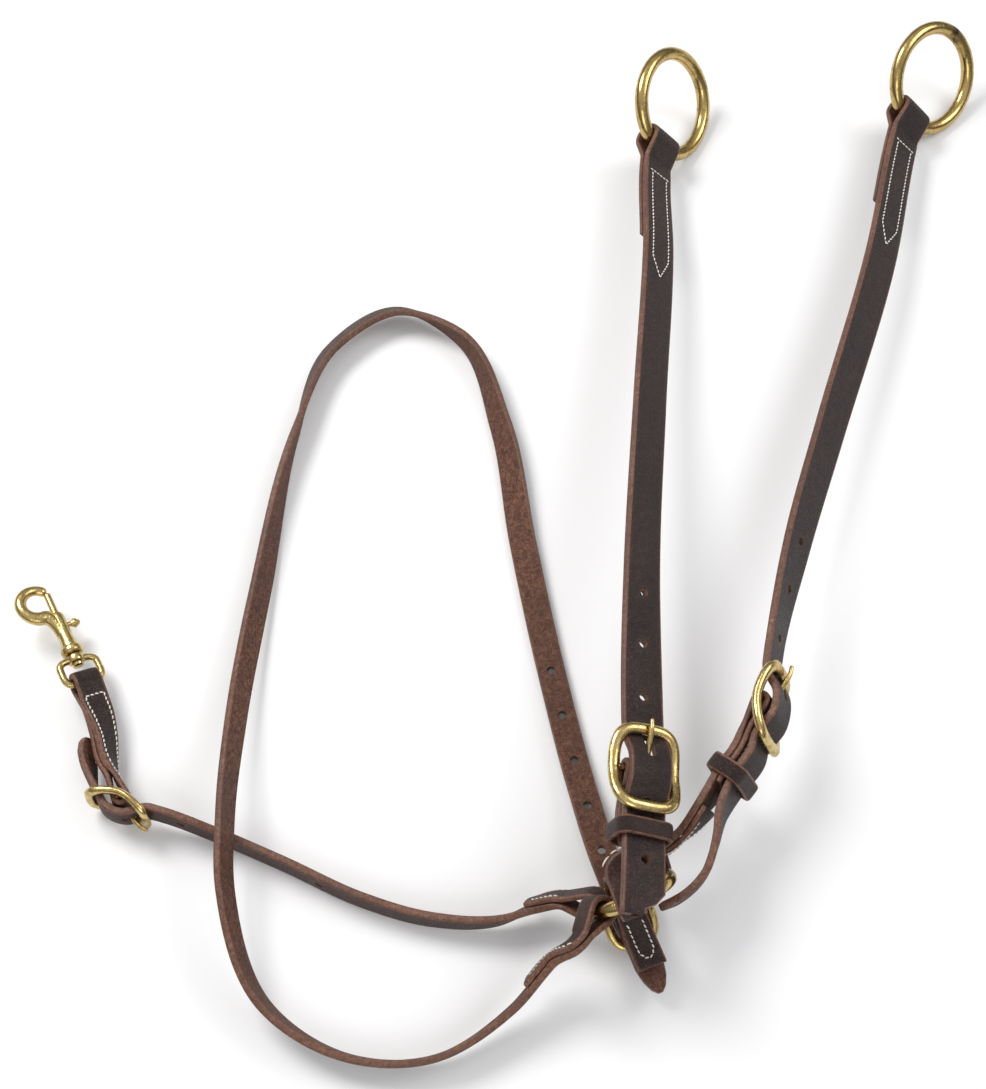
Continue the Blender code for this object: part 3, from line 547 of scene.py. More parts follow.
def routeAxes(cols):
    along = alongRoute(cols[:, :3])
    side = cols[:, 3:6] - along * np.sum(cols[:, 3:6] * along, axis=1, keepdims=True)
    side = unitRows(side)
    return along, side, np.cross(side, along)


def laidAt(cols, flat):
    # flat is (along, across, through) on the strap before it is laid
    flat = np.asarray(flat, float)
    along, side, grain = routeAxes(cols)
    where = np.clip(flat[:, 0] / stepOf(cols), 0, len(cols) - 1.001)
    low = where.astype(int)
    t = (where - low)[:, None]
    place = cols[low, :3] * (1 - t) + cols[low + 1, :3] * t
    across = unitRows(side[low] * (1 - t) + side[low + 1] * t)
    through = unitRows(grain[low] * (1 - t) + grain[low + 1] * t)
    beyond = (flat[:, 0] - where * stepOf(cols))[:, None] * along[low]
    return place + across * flat[:, 1:2] + through * flat[:, 2:3] + beyond * (np.abs(beyond) > 1e-4)


def finishPiece(name, bm, materials, body, replaced=(), smooth=True):
    mesh = bpy.data.meshes.new(name)
    bm.to_mesh(mesh)
    bm.free()
    piece = bpy.data.objects.new(name, mesh)
    bpy.context.scene.collection.objects.link(piece)
    for material in materials:
        mesh.materials.append(material)
    mesh.polygons.foreach_set("use_smooth", [smooth] * len(mesh.polygons))
    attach(piece, body)
    if replaced:
        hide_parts(*replaced)
    return piece


def setValues(mesh, label, values):
    mesh.attributes.new(label, "FLOAT", "POINT").data.foreach_set("value", values)


def joinLoops(bm, loops, parts=None):
    # side faces from each loop to the next; parts gives their materials
    count = len(loops[0])
    for one, two in zip(loops, loops[1:]):
        for k in range(count):
            m = (k + 1) % count
            face = bm.faces.new((one[k], one[m], two[m], two[k]))
            if parts:
                face.material_index = parts[k]


def capEnds(bm, loops, part=0):
    for cap in (loops[0][::-1], loops[-1]):
        bm.faces.new(cap).material_index = part


def roundCorner(x, y, radius, degrees):
    return [(x + radius * math.cos(a), y + radius * math.sin(a), 1) for a in np.radians(degrees)]


def strapSection(half, thick):
    # crowned grain side, waxed round edges, flat flesh side; (across, through, part)
    t, top, low = thick / 2, min(leather["grainRound"], half * 0.4), min(leather["fleshRound"], half * 0.3)
    crown = leather["crown"]
    rows = [(share * (half - top), t - crown * share ** 4, 0) for share in np.linspace(-1, 1, 9)]
    rows += roundCorner(half - top, t - crown - top, top, [66, 44, 22, 0])
    rows += roundCorner(half - low, -t + low, low, [0, -30, -60])
    rows += [(share * (half - low), -t, 2) for share in np.linspace(1, -1, 9)]
    rows += roundCorner(-half + low, -t + low, low, [-120, -150, 180])
    return rows + roundCorner(-half + top, t - crown - top, top, [180, 158, 136, 114])


def tipParts(tip, gap):
    if not tip or gap >= tip[-1][0]:
        return 1.0, 1.0
    where = [row[0] for row in tip]
    return [float(np.interp(gap, where, [row[side] for row in tip])) for side in (1, 2)]


def stationsOf(cols, tip, turn=0.05, longest=3.0):
    along, side = routeAxes(cols)[:2]
    step, picked, last = stepOf(cols), [0], 0
    total = step * (len(cols) - 1)
    wanted = {int(round((total - row[0]) / step)) for row in tip}
    for offset in (0.25, 0.6, 1.2):
        wanted |= {int(round(offset / step)), int(round((total - offset) / step))}
    for i in range(1, len(cols) - 1):
        bent = math.acos(min(1, max(-1, float(along[i] @ along[last]))))
        twisted = math.acos(min(1, max(-1, float(side[i] @ side[last]))))
        if i in wanted or bent > turn or twisted > turn or (i - last) * step > longest:
            picked.append(i)
            last = i
    return picked + [len(cols) - 1]


def makeStrap(name, cols, grainMaterial, node, holes=(), slots=(), tip=(), grainUnder=False):
    step, total = stepOf(cols), stepOf(cols) * (len(cols) - 1)
    picked = stationsOf(cols, tip)
    along = routeAxes(cols)[0]
    curve = np.linalg.norm(np.gradient(along, axis=0), axis=1) / step
    curve = np.convolve(curve, np.ones(9) / 9, "same")
    bm = bmesh.new()
    loops, parts = [], None
    for i in picked:
        x = i * step
        left, right = tipParts(tip, total - x)
        endRound = 1 - 0.32 * (1 - min(1, min(x, total - x) / 0.8)) ** 2
        half, thick = cols[i, 6] / 2, cols[i, 7] * endRound
        rows = strapSection(half, thick)
        parts = [row[2] for row in rows]
        loops.append([bm.verts.new((x, a * (right if a > 0 else left), t)) for a, t, _ in rows])
    joinLoops(bm, loops, [one if one == two else 1 for one, two in zip(parts, parts[1:] + parts[:1])])
    capEnds(bm, loops, 1)
    bmesh.ops.recalc_face_normals(bm, faces=bm.faces)
    sides = [grainMaterial, burnishedEdge, fleshSide]
    if grainUnder:
        sides.reverse()
    strap = finishPiece(name, bm, sides, "straps", [node])
    if holes or slots:
        cut = bmesh.new()
        radius, depth = leather["holeRadius"], leather["punchDepth"]
        for place in holes:
            bmesh.ops.create_cone(cut, cap_ends=True, segments=28, radius1=radius, radius2=radius,
                                  depth=depth, matrix=Matrix.Translation((place, 0, 0)))
        for centre, long, wide in slots:
            pill = bmesh.new()
            bmesh.ops.create_cone(pill, cap_ends=True, segments=24, radius1=wide / 2, radius2=wide / 2,
                                  depth=depth)
            for vert in pill.verts:
                end = vert.co.x if abs(vert.co.x) > 1e-6 else 1
                vert.co.x += math.copysign(long / 2 - wide / 2, end) + centre
            pillMesh = bpy.data.meshes.new("pill")
            pill.to_mesh(pillMesh)
            pill.free()
            cut.from_mesh(pillMesh)
        for face in cut.faces:
            face.material_index = 1
        cutMesh = bpy.data.meshes.new("punch")
        cut.to_mesh(cutMesh)
        cut.free()
        for material in sides:
            cutMesh.materials.append(material)
        punch = bpy.data.objects.new("punch", cutMesh)
        bpy.context.scene.collection.objects.link(punch)
        modifier = strap.modifiers.new("punch", "BOOLEAN")
        modifier.operation, modifier.solver, modifier.object = "DIFFERENCE", "EXACT", punch
        graph = bpy.context.evaluated_depsgraph_get()
        strap.data = bpy.data.meshes.new_from_object(strap.evaluated_get(graph))
        strap.modifiers.clear()
        bpy.data.objects.remove(punch, do_unlink=True)
    mesh = strap.data
    flat = np.zeros(len(mesh.vertices) * 3)
    mesh.vertices.foreach_get("co", flat)
    flat = flat.reshape(-1, 3)
    where = np.clip((flat[:, 0] / step).astype(int), 0, len(cols) - 1)
    half = cols[where, 6] / 2
    gap = total - flat[:, 0]
    for i in np.nonzero(gap < (tip[-1][0] if tip else 0))[0]:
        left, right = tipParts(tip, gap[i])
        half[i] *= right if flat[i, 1] > 0 else left
    edgeNear = blendOver(2.6, 0.4, half - np.abs(flat[:, 1]))
    for hole in holes:
        reach = np.hypot(flat[:, 0] - hole, flat[:, 1])
        edgeNear = np.maximum(edgeNear, blendOver(4.4, 2.4, reach))
    bent = np.clip(curve[where] * 5.0 - 0.12, 0, 1)
    setValues(mesh, "edgeNear", edgeNear.astype(np.float32))
    setValues(mesh, "bent", bent.astype(np.float32))
    mesh.vertices.foreach_set("co", toMetres(laidAt(cols, flat)).ravel())
    mesh.polygons.foreach_set("use_smooth", [True] * len(mesh.polygons))
    bm = bmesh.new()
    bm.from_mesh(mesh)
    if bm.calc_volume(signed=True) < 0:
        bmesh.ops.reverse_faces(bm, faces=bm.faces)
    bm.to_mesh(mesh)
    bm.free()
    mesh.set_sharp_from_angle(angle=math.radians(50))
    return strap


def pairedRows(start, end, across):
    return [[(start, side), (end, side)] for side in (-across, across)]


def pinPlace(cols, spot):
    return nearestAlong(cols, spot.at(spot.size["half"] * 0.55, 4.6))


threadSize = {"pitch": 2.15, "long": 1.85, "radius": 0.34}


def makeStitching(name, cols, rows, seed, through=None):
    # a row is a run of (along, across) corners, through is 1 for the grain side of a row and -1 for the
    # flesh side; every stitch is its own short, plump piece of thread
    rng = np.random.default_rng(seed)
    step = stepOf(cols)
    bm = bmesh.new()
    for corners, out in zip(rows, through or [1] * len(rows)):
        corners = np.array(corners, float)
        far = distancesAlong(corners)
        count = max(2, int(far[-1] / threadSize["pitch"]))
        pitch = far[-1] / count
        for k in range(count):
            middle = (k + 0.5) * pitch
            reach = threadSize["long"] / 2
            ends = [np.array([np.interp(middle + s * reach, far, corners[:, i]) for i in (0, 1)])
                    for s in (-1, 1)]
            run = ends[1] - ends[0]
            if np.linalg.norm(run) < 0.5:
                continue
            slant = np.array([-run[1], run[0]]) / np.linalg.norm(run) * (0.2 + 0.1 * rng.normal())
            ends = [ends[0] - slant, ends[1] + slant]
            spine = []
            for t in np.linspace(0, 1, 7):
                flat = ends[0] * (1 - t) + ends[1] * t
                index = min(len(cols) - 1, max(0, int(flat[0] / step)))
                surface = cols[index, 7] / 2
                arch = math.sin(math.pi * t)
                spine.append(((flat[0], flat[1], out * (surface - 0.55 + 0.62 * arch ** 0.5)), arch))
            places = laidAt(cols, [row[0] for row in spine])
            loops = []
            heading = unitRows(np.gradient(places, axis=0))
            for place, ahead, (flat, arch) in zip(places, heading, spine):
                first = np.cross(ahead, (0.3, 0.5, 0.81))
                first /= np.linalg.norm(first)
                second = np.cross(ahead, first)
                radius = threadSize["radius"] * (0.45 + 0.55 * arch ** 0.4)
                around = [math.cos(a) * first + math.sin(a) * second for a in np.arange(8) * math.pi / 4]
                loops.append([bm.verts.new(toMetres(place + radius * way)) for way in around])
            joinLoops(bm, loops)
            capEnds(bm, loops)
    bmesh.ops.recalc_face_normals(bm, faces=bm.faces)
    return finishPiece(name, bm, [waxedThread], "straps", ())


def sweepRod(name, points, radii, material, body, closed=False, sides=20, squash=None, node=(), stain=None,
             roundEnds=True):
    # a rod along the points; radii may change along it, squash is (direction, share) to flatten its section
    pts = np.array(points, float)
    radii = np.full(len(pts), radii, float) if np.isscalar(radii) else np.array(radii, float)
    if closed:
        heading = unitRows(np.roll(pts, -1, axis=0) - np.roll(pts, 1, axis=0))
    else:
        heading = unitRows(np.gradient(pts, axis=0))
        if roundEnds:
            turns = np.radians([30, 55, 80])
            head = [pts[0] - heading[0] * radii[0] * math.sin(a) for a in turns[::-1]]
            tail = [pts[-1] + heading[-1] * radii[-1] * math.sin(a) for a in turns]
            pts = np.array(head + list(pts) + tail)
            headRadii = [radii[0] * math.cos(a) for a in turns[::-1]]
            radii = np.array(headRadii + list(radii) + [radii[-1] * math.cos(a) for a in turns])
            heading = np.array([heading[0]] * len(turns) + list(heading) + [heading[-1]] * len(turns))
    first = np.cross(heading[0], (0.0, 0.0, 1.0) if abs(heading[0][2]) < 0.9 else (1.0, 0, 0))
    first /= np.linalg.norm(first)
    frames = []
    for ahead in heading:
        first = first - ahead * (first @ ahead)
        first /= np.linalg.norm(first)
        frames.append((first, np.cross(ahead, first)))
    bm = bmesh.new()
    loops = []
    for place, radius, (one, two) in zip(pts, radii, frames):
        loop = []
        for k in range(sides):
            angle = 2 * math.pi * k / sides
            out = radius * (math.cos(angle) * one + math.sin(angle) * two)
            if squash:
                direction = np.array(squash[0], float)
                out = out - direction * (out @ direction) * (1 - squash[1])
            loop.append(bm.verts.new(toMetres(place + out)))
        loops.append(loop)
    joinLoops(bm, loops)
    if closed:  # meet the first loop again at the turn that fits best
        last, head = loops[-1], loops[0]
        gaps = [sum((last[k].co - head[(k + s) % sides].co).length for k in range(sides))
                for s in range(sides)]
        shift = int(np.argmin(gaps))
        for k in range(sides):
            m = (k + 1) % sides
            bm.faces.new((last[k], last[m], head[(m + shift) % sides], head[(k + shift) % sides]))
    else:
        capEnds(bm, loops)
    bmesh.ops.recalc_face_normals(bm, faces=bm.faces)
    piece = finishPiece(name, bm, [material], body, node)
    if stain is not None:
        values = []
        for vert in piece.data.vertices:
            far = (np.array(vert.co) - toMetres(stain[0])) * 1000
            values.append(math.exp(-(np.linalg.norm(far) / stain[1]) ** 2))
        setValues(piece.data, "stain", values)
    return piece


def circlePoints(centre, right, up, radius, count=96):
    return [np.array(centre) + radius * (math.cos(a) * np.array(right) + math.sin(a) * np.array(up))
            for a in np.linspace(0, 2 * math.pi, count, endpoint=False)]


print("tools for straps and rods ready")


# buckles

bigBuckle = {"half": 17.5, "inner": 25.7, "wire": 2.1, "bar": 1.6, "pin": 1.3, "face": 2.65, "drawn": 1.2}
smallBuckle = {"half": 13.6, "inner": 16.4, "wire": 1.9, "bar": 1.5, "pin": 1.2, "face": 2.15, "drawn": 0.4}
buckleShape = {"lift": 4.8, "frameLift": 4.2, "corner": 0.54, "crown": 7.0}


class BuckleSpot:
    # u runs towards the standing strap, n out of the front, v across
    def __init__(self, place, towards, lean, size):
        self.place, self.u, self.size = Vector(place), Vector(towards).normalized(), size
        right = (-self.u).cross(Vector((0, 0, 1))).normalized()
        up = right.cross(-self.u)
        self.v = right * math.cos(math.radians(lean)) + up * math.sin(math.radians(lean))
        self.n = self.v.cross(-self.u)

    def at(self, u, n, v=0.0):
        return self.place + self.u * u + self.n * n + self.v * v

    def strapPoints(self, lean, reach):
        half = self.size["half"]
        shape = [(1.25, -0.3), (0.95, 0.2), (0.68, 2.8), (0.36, 6.1)]
        rows = [(reach, -0.5)] + [(half * u, n) for u, n in shape]
        rows += [(0, buckleShape["crown"])] + [(-half * u, n) for u, n in reversed(shape)]
        return [(*self.at(u, n), lean) for u, n in rows]


def makeBuckle(name, spot, tongueName):
    size = spot.size
    halfWide = size["inner"] / 2 + size["wire"] - size["drawn"]
    frameHalf = size["half"] - size["drawn"] * 0.4
    places = []
    for angle in np.linspace(0, 2 * math.pi, 120, endpoint=False):
        u = math.copysign(abs(math.cos(angle)) ** buckleShape["corner"], math.cos(angle)) * frameHalf
        v = math.copysign(abs(math.sin(angle)) ** buckleShape["corner"], math.sin(angle)) * halfWide
        places.append(spot.at(u, buckleShape["frameLift"] * abs(u / frameHalf) ** 1.5, v))
    sweepRod(name + "_frame", evenLoop(places, 120), size["face"], castBrass, "straps", closed=True,
             node=[name], squash=(spot.n, 0.78), sides=28)
    bar = [spot.at(0, 0, halfWide * share) for share in np.linspace(-1, 1, 12)]
    sweepRod(name + "_bar", bar, size["bar"], castBrass, "straps")
    pin, half = size["pin"], size["half"]
    curl = size["bar"] + 0.25 + pin
    rows = [(curl * math.cos(a), curl * math.sin(a)) for a in np.radians(np.arange(-30, -271, -10))]
    top = buckleShape["lift"] + size["wire"] + pin + 0.3
    rows += [(half * 0.2, curl + 0.1), (half * 0.45, curl + 1.3), (half * 0.76, top - 1.4),
             (half, top), (half + 2.2, top + 0.05)]
    line = smoothRoute([[u, n, 0, 0] for u, n in rows], step=0.6)[:, :2]
    share = np.linspace(0, 1, len(line))
    thin = pin * (1 + 0.06 * np.sin(share * math.pi) - 0.3 * blendOver(0.86, 1.0, share))
    sweepRod(name + "_pin", [spot.at(u, n) for u, n in line], thin, castBrass, tongueName,
             node=[tongueName], squash=(spot.v, 0.98))


forkBuckles = {"left": BuckleSpot((62.6, -128.3, 52.4), (0.03, 0.996, -0.08), 22, bigBuckle),
               "right": BuckleSpot((117.5, -95.4, 38.0), (0.22, 0.97, -0.05), 66, bigBuckle)}
neckBuckle = BuckleSpot((56.7, -176.7, 9.6), (-0.36, 0.93, 0.0), 180, smallBuckle)
chestBuckle = BuckleSpot((-161.5, -129.0, 12.6), (0.93, -0.36, 0.0), 84, smallBuckle)

# centre ring
sweepRod("centre_ring_round", circlePoints(centreRing["centre"], ringRight, ringUp, centreRing["radius"]),
         centreRing["wire"], ringBrass, "straps", closed=True, node=["centre_ring"], sides=24)


def onCentreRing(degrees):
    angle = math.radians(degrees)
    out = ringRight * math.cos(angle) + ringUp * math.sin(angle)
    wire = ringUp * math.cos(angle) - ringRight * math.sin(angle)
    return Vector(centreRing["centre"]) + out * (centreRing["radius"] - 0.5), out, wire


def foldOnRing(degrees, lift, outwards, side, sewn):
    place, out, wire = onCentreRing(degrees)
    return Fold(place, ringOut * lift + out * outwards, wire * side, centreRing["wire"] + 1.15,
                leather["ringEndWidth"], sewn)

# fork straps: rein ring at one end, buckled to a billet at the other
forkSettings = {
    "left": {"fold": (84.6, 217.1, 19.7), "leave": (-0.13, -0.99, 0.03), "lean": 46,
             "face": (0.716, -0.382, 0.583),
             "lay": [(82, 151, 25, 40), (74, 61, 32, 38), (66, -34.5, 43.2, 34)],
             "tail": [(61.0, -167.3, 56.2, 22), (59.5, -190.8, 59.3, 18)],
             "tip": [(0.0, -0.55, 1.0), (6.0, 0.62, 1.0), (10.5, 1.0, 1.0)],
             "billet": {"angle": 104, "leave": (-1.0, -0.35), "sewn": 27.0, "lay": [],
                        "beside": (35, 29, 23)},
             "keeper": 28.0, "braze": 40, "burnt": 2.6, "seed": 3},
    "right": {"fold": (215.6, 237.5, 16.6), "leave": (-0.30, -0.95, 0.03), "lean": 41,
              "face": (0.53, -0.583, 0.611),
              "lay": [(192, 146, 22, 36), (158, 46, 28, 44), (138, -14, 32, 52)],
              "tail": [(102.6, -130, 36.4, 71), (96.5, -141, 35.4, 78), (93.5, -153, 33.6, 86),
                       (87.5, -167.5, 31.0, 92), (77.5, -176.4, 29.6, 96), (69.5, -180, 29.6, 98)],
              "tip": [(0.0, 0.3, 0.3), (3.0, 0.7, 0.7), (8.0, 1.0, 1.0)],
              "billet": {"angle": 325, "leave": (-1.0, 0.6), "sewn": 42.0,
                         "lay": [(72.5, -151.2, 26.5, 66)], "beside": (46, 41, 36, 31, 26)},
              "keeper": 38.0, "braze": 80, "burnt": 5.6, "seed": 8},
}
beside = leather["thick"] + leather["skived"] + 2 * leather["gap"] + 1.0


def tailFrame(spot, cols, reach):
    index = int((nearestAlong(cols, spot.at(0, buckleShape["crown"])) + reach) / stepOf(cols))
    along, side, grain = routeAxes(cols)
    return Vector(cols[index, :3]), Vector(along[index]), Vector(side[index]), Vector(grain[index])


def makeKeeper(name, centre, along, across, through, wide, high, body):
    # a band of leather closed round the straps, its ends meeting at a seam underneath
    length, thick, corner = 8.0, 2.2, 4.0
    a, b = wide / 2 + thick / 2, high / 2 + thick / 2
    mids = []
    for sx, sy, base in ((1, 1, 0), (-1, 1, 90), (-1, -1, 180), (1, -1, 270)):
        for k in range(9):
            angle = math.radians(base + 11.25 * k)
            out = Vector((math.cos(angle), math.sin(angle)))
            mids.append((Vector((sx * (a - corner), sy * (b - corner))) + out * corner, out))
    dense = []
    for (p, o), (q, r) in zip(mids, mids[1:] + mids[:1]):
        pieces = max(1, int((q - p).length / 1.4))
        for t in np.linspace(0, 1, pieces, endpoint=False):
            dense.append((p.lerp(q, t), o.lerp(r, t).normalized()))
    profile = strapSection(length / 2, thick)
    bm = bmesh.new()
    loops = []
    for p, out in dense:
        bulge = 0.066 * math.sin(p.x * 0.31 + p.y * 0.5)  # the cut edges wander a little
        loop = []
        for x, t, _ in profile:
            place = centre + across * (p.x + out.x * t) + through * (p.y + out.y * t)
            loop.append(bm.verts.new(toMetres(place + along * (x + bulge))))
        loops.append(loop)
    joinLoops(bm, loops + loops[:1], [row[2] for row in profile])
    bmesh.ops.recalc_face_normals(bm, faces=bm.faces)
    keeper = finishPiece(name + "_band", bm, [oiledGrain, burnishedEdge, fleshSide], body, [name])
    mesh = keeper.data
    for label, value in (("edgeNear", 0.35), ("bent", 0.25)):
        setValues(mesh, label, [value] * len(mesh.vertices))
    return keeper


def makeFork(side):
    settings, spot = forkSettings[side], forkBuckles[side]
    leave = Vector(settings["leave"]).normalized()
    right = leave.cross(Vector((0, 0, 1))).normalized()
    lean = math.radians(settings["lean"])
    across = right * math.cos(lean) + right.cross(leave) * math.sin(lean)
    face = Vector(settings["face"]).normalized()
    wire = (across - face * across.dot(face)).normalized()
    away = wire.cross(face)
    away *= -math.copysign(1, away.dot(leave))
    centre = Vector(settings["fold"]) + away * (reinRing["radius"] - 1.1)
    braze = math.radians(settings["braze"])
    brazeAt = centre + reinRing["radius"] * (math.cos(braze) * wire + math.sin(braze) * away)
    sweepRod(f"rein_ring_{side}_round", circlePoints(centre, wire, away, reinRing["radius"]),
             reinRing["wire"], ringBrass, f"rein_ring_{side}", closed=True, node=[f"rein_ring_{side}"],
             sides=24, stain=(brazeAt, settings["burnt"]))
    fold = Fold(settings["fold"], leave, across, reinRing["wire"] + 1.6, leather["forkWidth"],
                leather["lap"])
    buckleLean = leanOf(spot.v, -spot.u)
    points = settings["lay"] + spot.strapPoints(buckleLean, 30) + settings["tail"]
    cols = layRoute(points, start=fold, width=leather["forkWidth"])
    total = lengthOf(cols)
    pulled = pinPlace(cols, spot)
    holes = [pulled + leather["holePitch"] * k for k in (-3, -2, -1, 1, 2)]
    if total - pulled > leather["holePitch"] * 3 + 14:
        holes.append(pulled + leather["holePitch"] * 3)
    makeStrap(f"fork_strap_{side}_leather", cols, oiledGrain, f"fork_strap_{side}", holes=holes,
              slots=[(pulled, 13.0, 2 * spot.size["pin"] + leather["pinPlay"])], tip=settings["tip"])
    # white stitching: a bar by the ring, two rows down the lap, closing to a point
    turnLength = 2 * math.pi * (reinRing["wire"] + 1.6 + leather["skived"] / 2)
    start = leather["lap"] + turnLength + 3.0
    rows = [[(start, -7.0), (start, 7.0)], [(start + 1, -5.2), (start + 54, -5.2), (start + 65, 0)],
            [(start + 1, 5.2), (start + 54, 5.2), (start + 65, 0)]]
    rows += pairedRows(8, 46, 6.2) + [[(46, -4.6), (46, 4.6)]]
    makeStitching(f"fork_stitching_{side}", cols, rows, settings["seed"])
    makeBuckle(f"fork_buckle_{side}", spot, f"fork_tongue_{side}")

    billet = settings["billet"]
    ringFold = foldOnRing(billet["angle"], *billet["leave"], 1, billet["sewn"])
    points = list(billet["lay"])
    for reach in billet["beside"]:
        at, along, tailAcross, through = tailFrame(spot, cols, reach)
        points.append((*(at - through * beside), leanOf(tailAcross, -along)))
    barFold = Fold(spot.place, -spot.u * 0.95 - spot.n * 0.31, -spot.v, spot.size["bar"] + 0.4,
                   leather["forkWidth"], billet["sewn"])
    billetCols = layRoute(points, start=ringFold, end=barFold, width=leather["forkWidth"])
    middle = nearestAlong(billetCols, spot.at(spot.size["bar"] + 2, 0))
    makeStrap(f"fork_billet_{side}_leather", billetCols, redGrain, f"fork_billet_{side}",
              slots=[(middle, 22.0, 2 * spot.size["pin"] + leather["pinPlay"])])
    long = lengthOf(billetCols)
    rows = pairedRows(6, billet["sewn"] - 12, 6.4) + pairedRows(long - 5, long - billet["sewn"] + 12, 6.4)
    makeStitching(f"billet_stitching_{side}", billetCols, rows, settings["seed"] + 1)
    at, along, tailAcross, through = tailFrame(spot, cols, settings["keeper"])
    makeKeeper(f"fork_keeper_{side}", at - through * beside / 2, along, tailAcross, through,
               leather["forkWidth"] + 2.4, beside + leather["thick"] + 2.6, f"fork_keeper_{side}")
    print(side, "fork strap laid,", round(total), "mm long")


for side in ("left", "right"):
    makeFork(side)

# neck strap: sewn to the centre ring, round the neck and back to its own buckle
neckLay = [(24, -203, 25, 104), (8, -219, 14.5, 102), (-24, -238, 9.6, 99), (-62, -237, 8.4, 101),
           (-95, -217, 11.5, 108), (-113, -171, 21.0, 112), (-115, -138, 22.0, 112),
           (-114, -92, 15.0, 120), (-107, -24, 8.6, 122), (-95, 56, 8.2, 84), (-79, 103, 8.4, 52),
           (-48, 124, 8.6, 50), (-16, 109, 8.2, 92), (4, 60, 6.6, 132), (14, 0, 3.8, 160),
           (28, -72, 3.0, 175), (39.5, -122, 5.0, 180)]


def makeNarrow(label, spot, cols, steps, tip, sewn, seed):
    # a narrow strap already laid: its holes, its slot on the pin, stitching and buckle
    pulled = pinPlace(cols, spot)
    holes = [pulled - leather["narrowPitch"] * k for k in steps]
    makeStrap(f"{label}_strap_leather", cols, redGrain, f"{label}_strap", holes=holes, tip=tip,
              slots=[(pulled, 9.4, 2 * spot.size["pin"] + leather["narrowPinPlay"])])
    makeStitching(f"{label}_stitching", cols, pairedRows(4, sewn, 3.9), seed)
    makeBuckle(f"{label}_buckle", spot, f"{label}_tongue")


def makeNeck():
    ringFold = foldOnRing(158, 0.5, 1, -1, 48.0)
    spot = neckBuckle
    lean = leanOf(spot.v, -spot.u)
    tail = [(*spot.at(-26, -0.6), lean), (*spot.at(-37, -0.9), lean)]
    points = neckLay + spot.strapPoints(lean, 20) + tail
    cols = layRoute(points, start=ringFold)
    tip = [(0.0, 0.18, 0.18), (2.0, 0.5, 0.5), (6.0, 0.8, 0.8), (12.0, 1.0, 1.0)]
    makeNarrow("neck", spot, cols, range(1, 6), tip, 33, 21)


def makeNeckChape():
    # short billet sewn round the bar and the centre ring, its plies over the tail
    spot = neckBuckle
    ring = Vector(centreRing["centre"]) - ringUp * centreRing["radius"] - spot.place
    ringU, ringN = ring.dot(spot.u), ring.dot(spot.n)
    ringBend = centreRing["wire"] + 1.25 + leather["skived"] / 2
    barBend = spot.size["bar"] + leather["gap"] + leather["skived"] / 2
    touch = math.atan2(ringN, ringU) + math.acos((barBend - ringBend) / math.hypot(ringU, ringN))
    rows = [(-27, -7.8), (-19, -7.6), (-12, -7.5)]
    rows += [(ringU + ringBend * math.cos(a), ringN + ringBend * math.sin(a))
             for a in np.linspace(math.radians(-100), touch, 14)]
    rows += [(barBend * math.cos(a), barBend * math.sin(a))
             for a in np.linspace(touch, math.radians(122), 8)]
    rows += [(-12, -3.9), (-19, -4.25), (-24, -4.4)]
    line = smoothRoute([[*spot.at(u, n), 0] for u, n in rows], step=0.7)[:, :3]
    far = (line - np.array(spot.place)) @ np.array(spot.u)
    thick = np.full(len(line), leather["skived"])
    thick[(np.arange(len(line)) < len(line) / 2) & (far < -8)] = leather["thick"]
    wide = np.interp(far, (-2, 5), (leather["narrowWidth"], leather["ringEndWidth"] - 1))
    cols = evenOut((line, np.tile(-np.array(spot.v), (len(line), 1)), wide, thick), soften=7)
    bend = nearestAlong(cols, spot.at(0.4, barBend))
    makeStrap("neck_chape_leather", cols, oiledGrain, "neck_chape", grainUnder=True,
              slots=[(bend, 15.0, 2 * spot.size["pin"] + leather["pinPlay"])])
    long = lengthOf(cols)
    bowl = [(20, -3.4), (7, -3.4), (4.2, -1.7), (3.4, 0), (4.2, 1.7), (7, 3.4), (20, 3.4)]
    farBowl = [(long - along, across) for along, across in bowl]
    makeStitching("chape_stitching", cols, [bowl, bowl, farBowl], 27, through=[1, -1, 1])


makeNeck()
makeNeckChape()
print("neck strap and chape laid")

# chest strap, snap tab
chestLay = [(18, -176.5, 13.8, 112), (3, -181, 10.6, 96), (-27, -180, 8.2, 86), (-55, -172, 7.6, 84),
            (-90, -156, 7.4, 84), (-122, -142.5, 8.4, 84)]
chestTail = [(-177.6, -113.5, 12.4, 104), (-179.8, -100.5, 12.6, 118)]
snapEye = {"centre": (-185.0, -69.0, 14.5), "wide": 8.8, "low": 6.4, "high": 5.8, "wire": 1.6}
snapUp = Vector((-0.46, 0.888, 0.0)).normalized()
snapSide = Vector((0.82, 0.425, -0.38)).normalized()
snapFront = snapSide.cross(snapUp)
snapScale = 1.18


def makeChest():
    ringFold = foldOnRing(213, -0.5, 1, -1, 30.0)
    spot = chestBuckle
    lean = leanOf(spot.v, -spot.u)
    cols = layRoute(chestLay + spot.strapPoints(lean, 19)[:-1] + chestTail, start=ringFold)
    tip = [(0.0, 0.3, 0.3), (2.5, 0.7, 0.7), (7.0, 1.0, 1.0)]
    makeNarrow("chest", spot, cols, (1, 2, 4), tip, 17, 33)


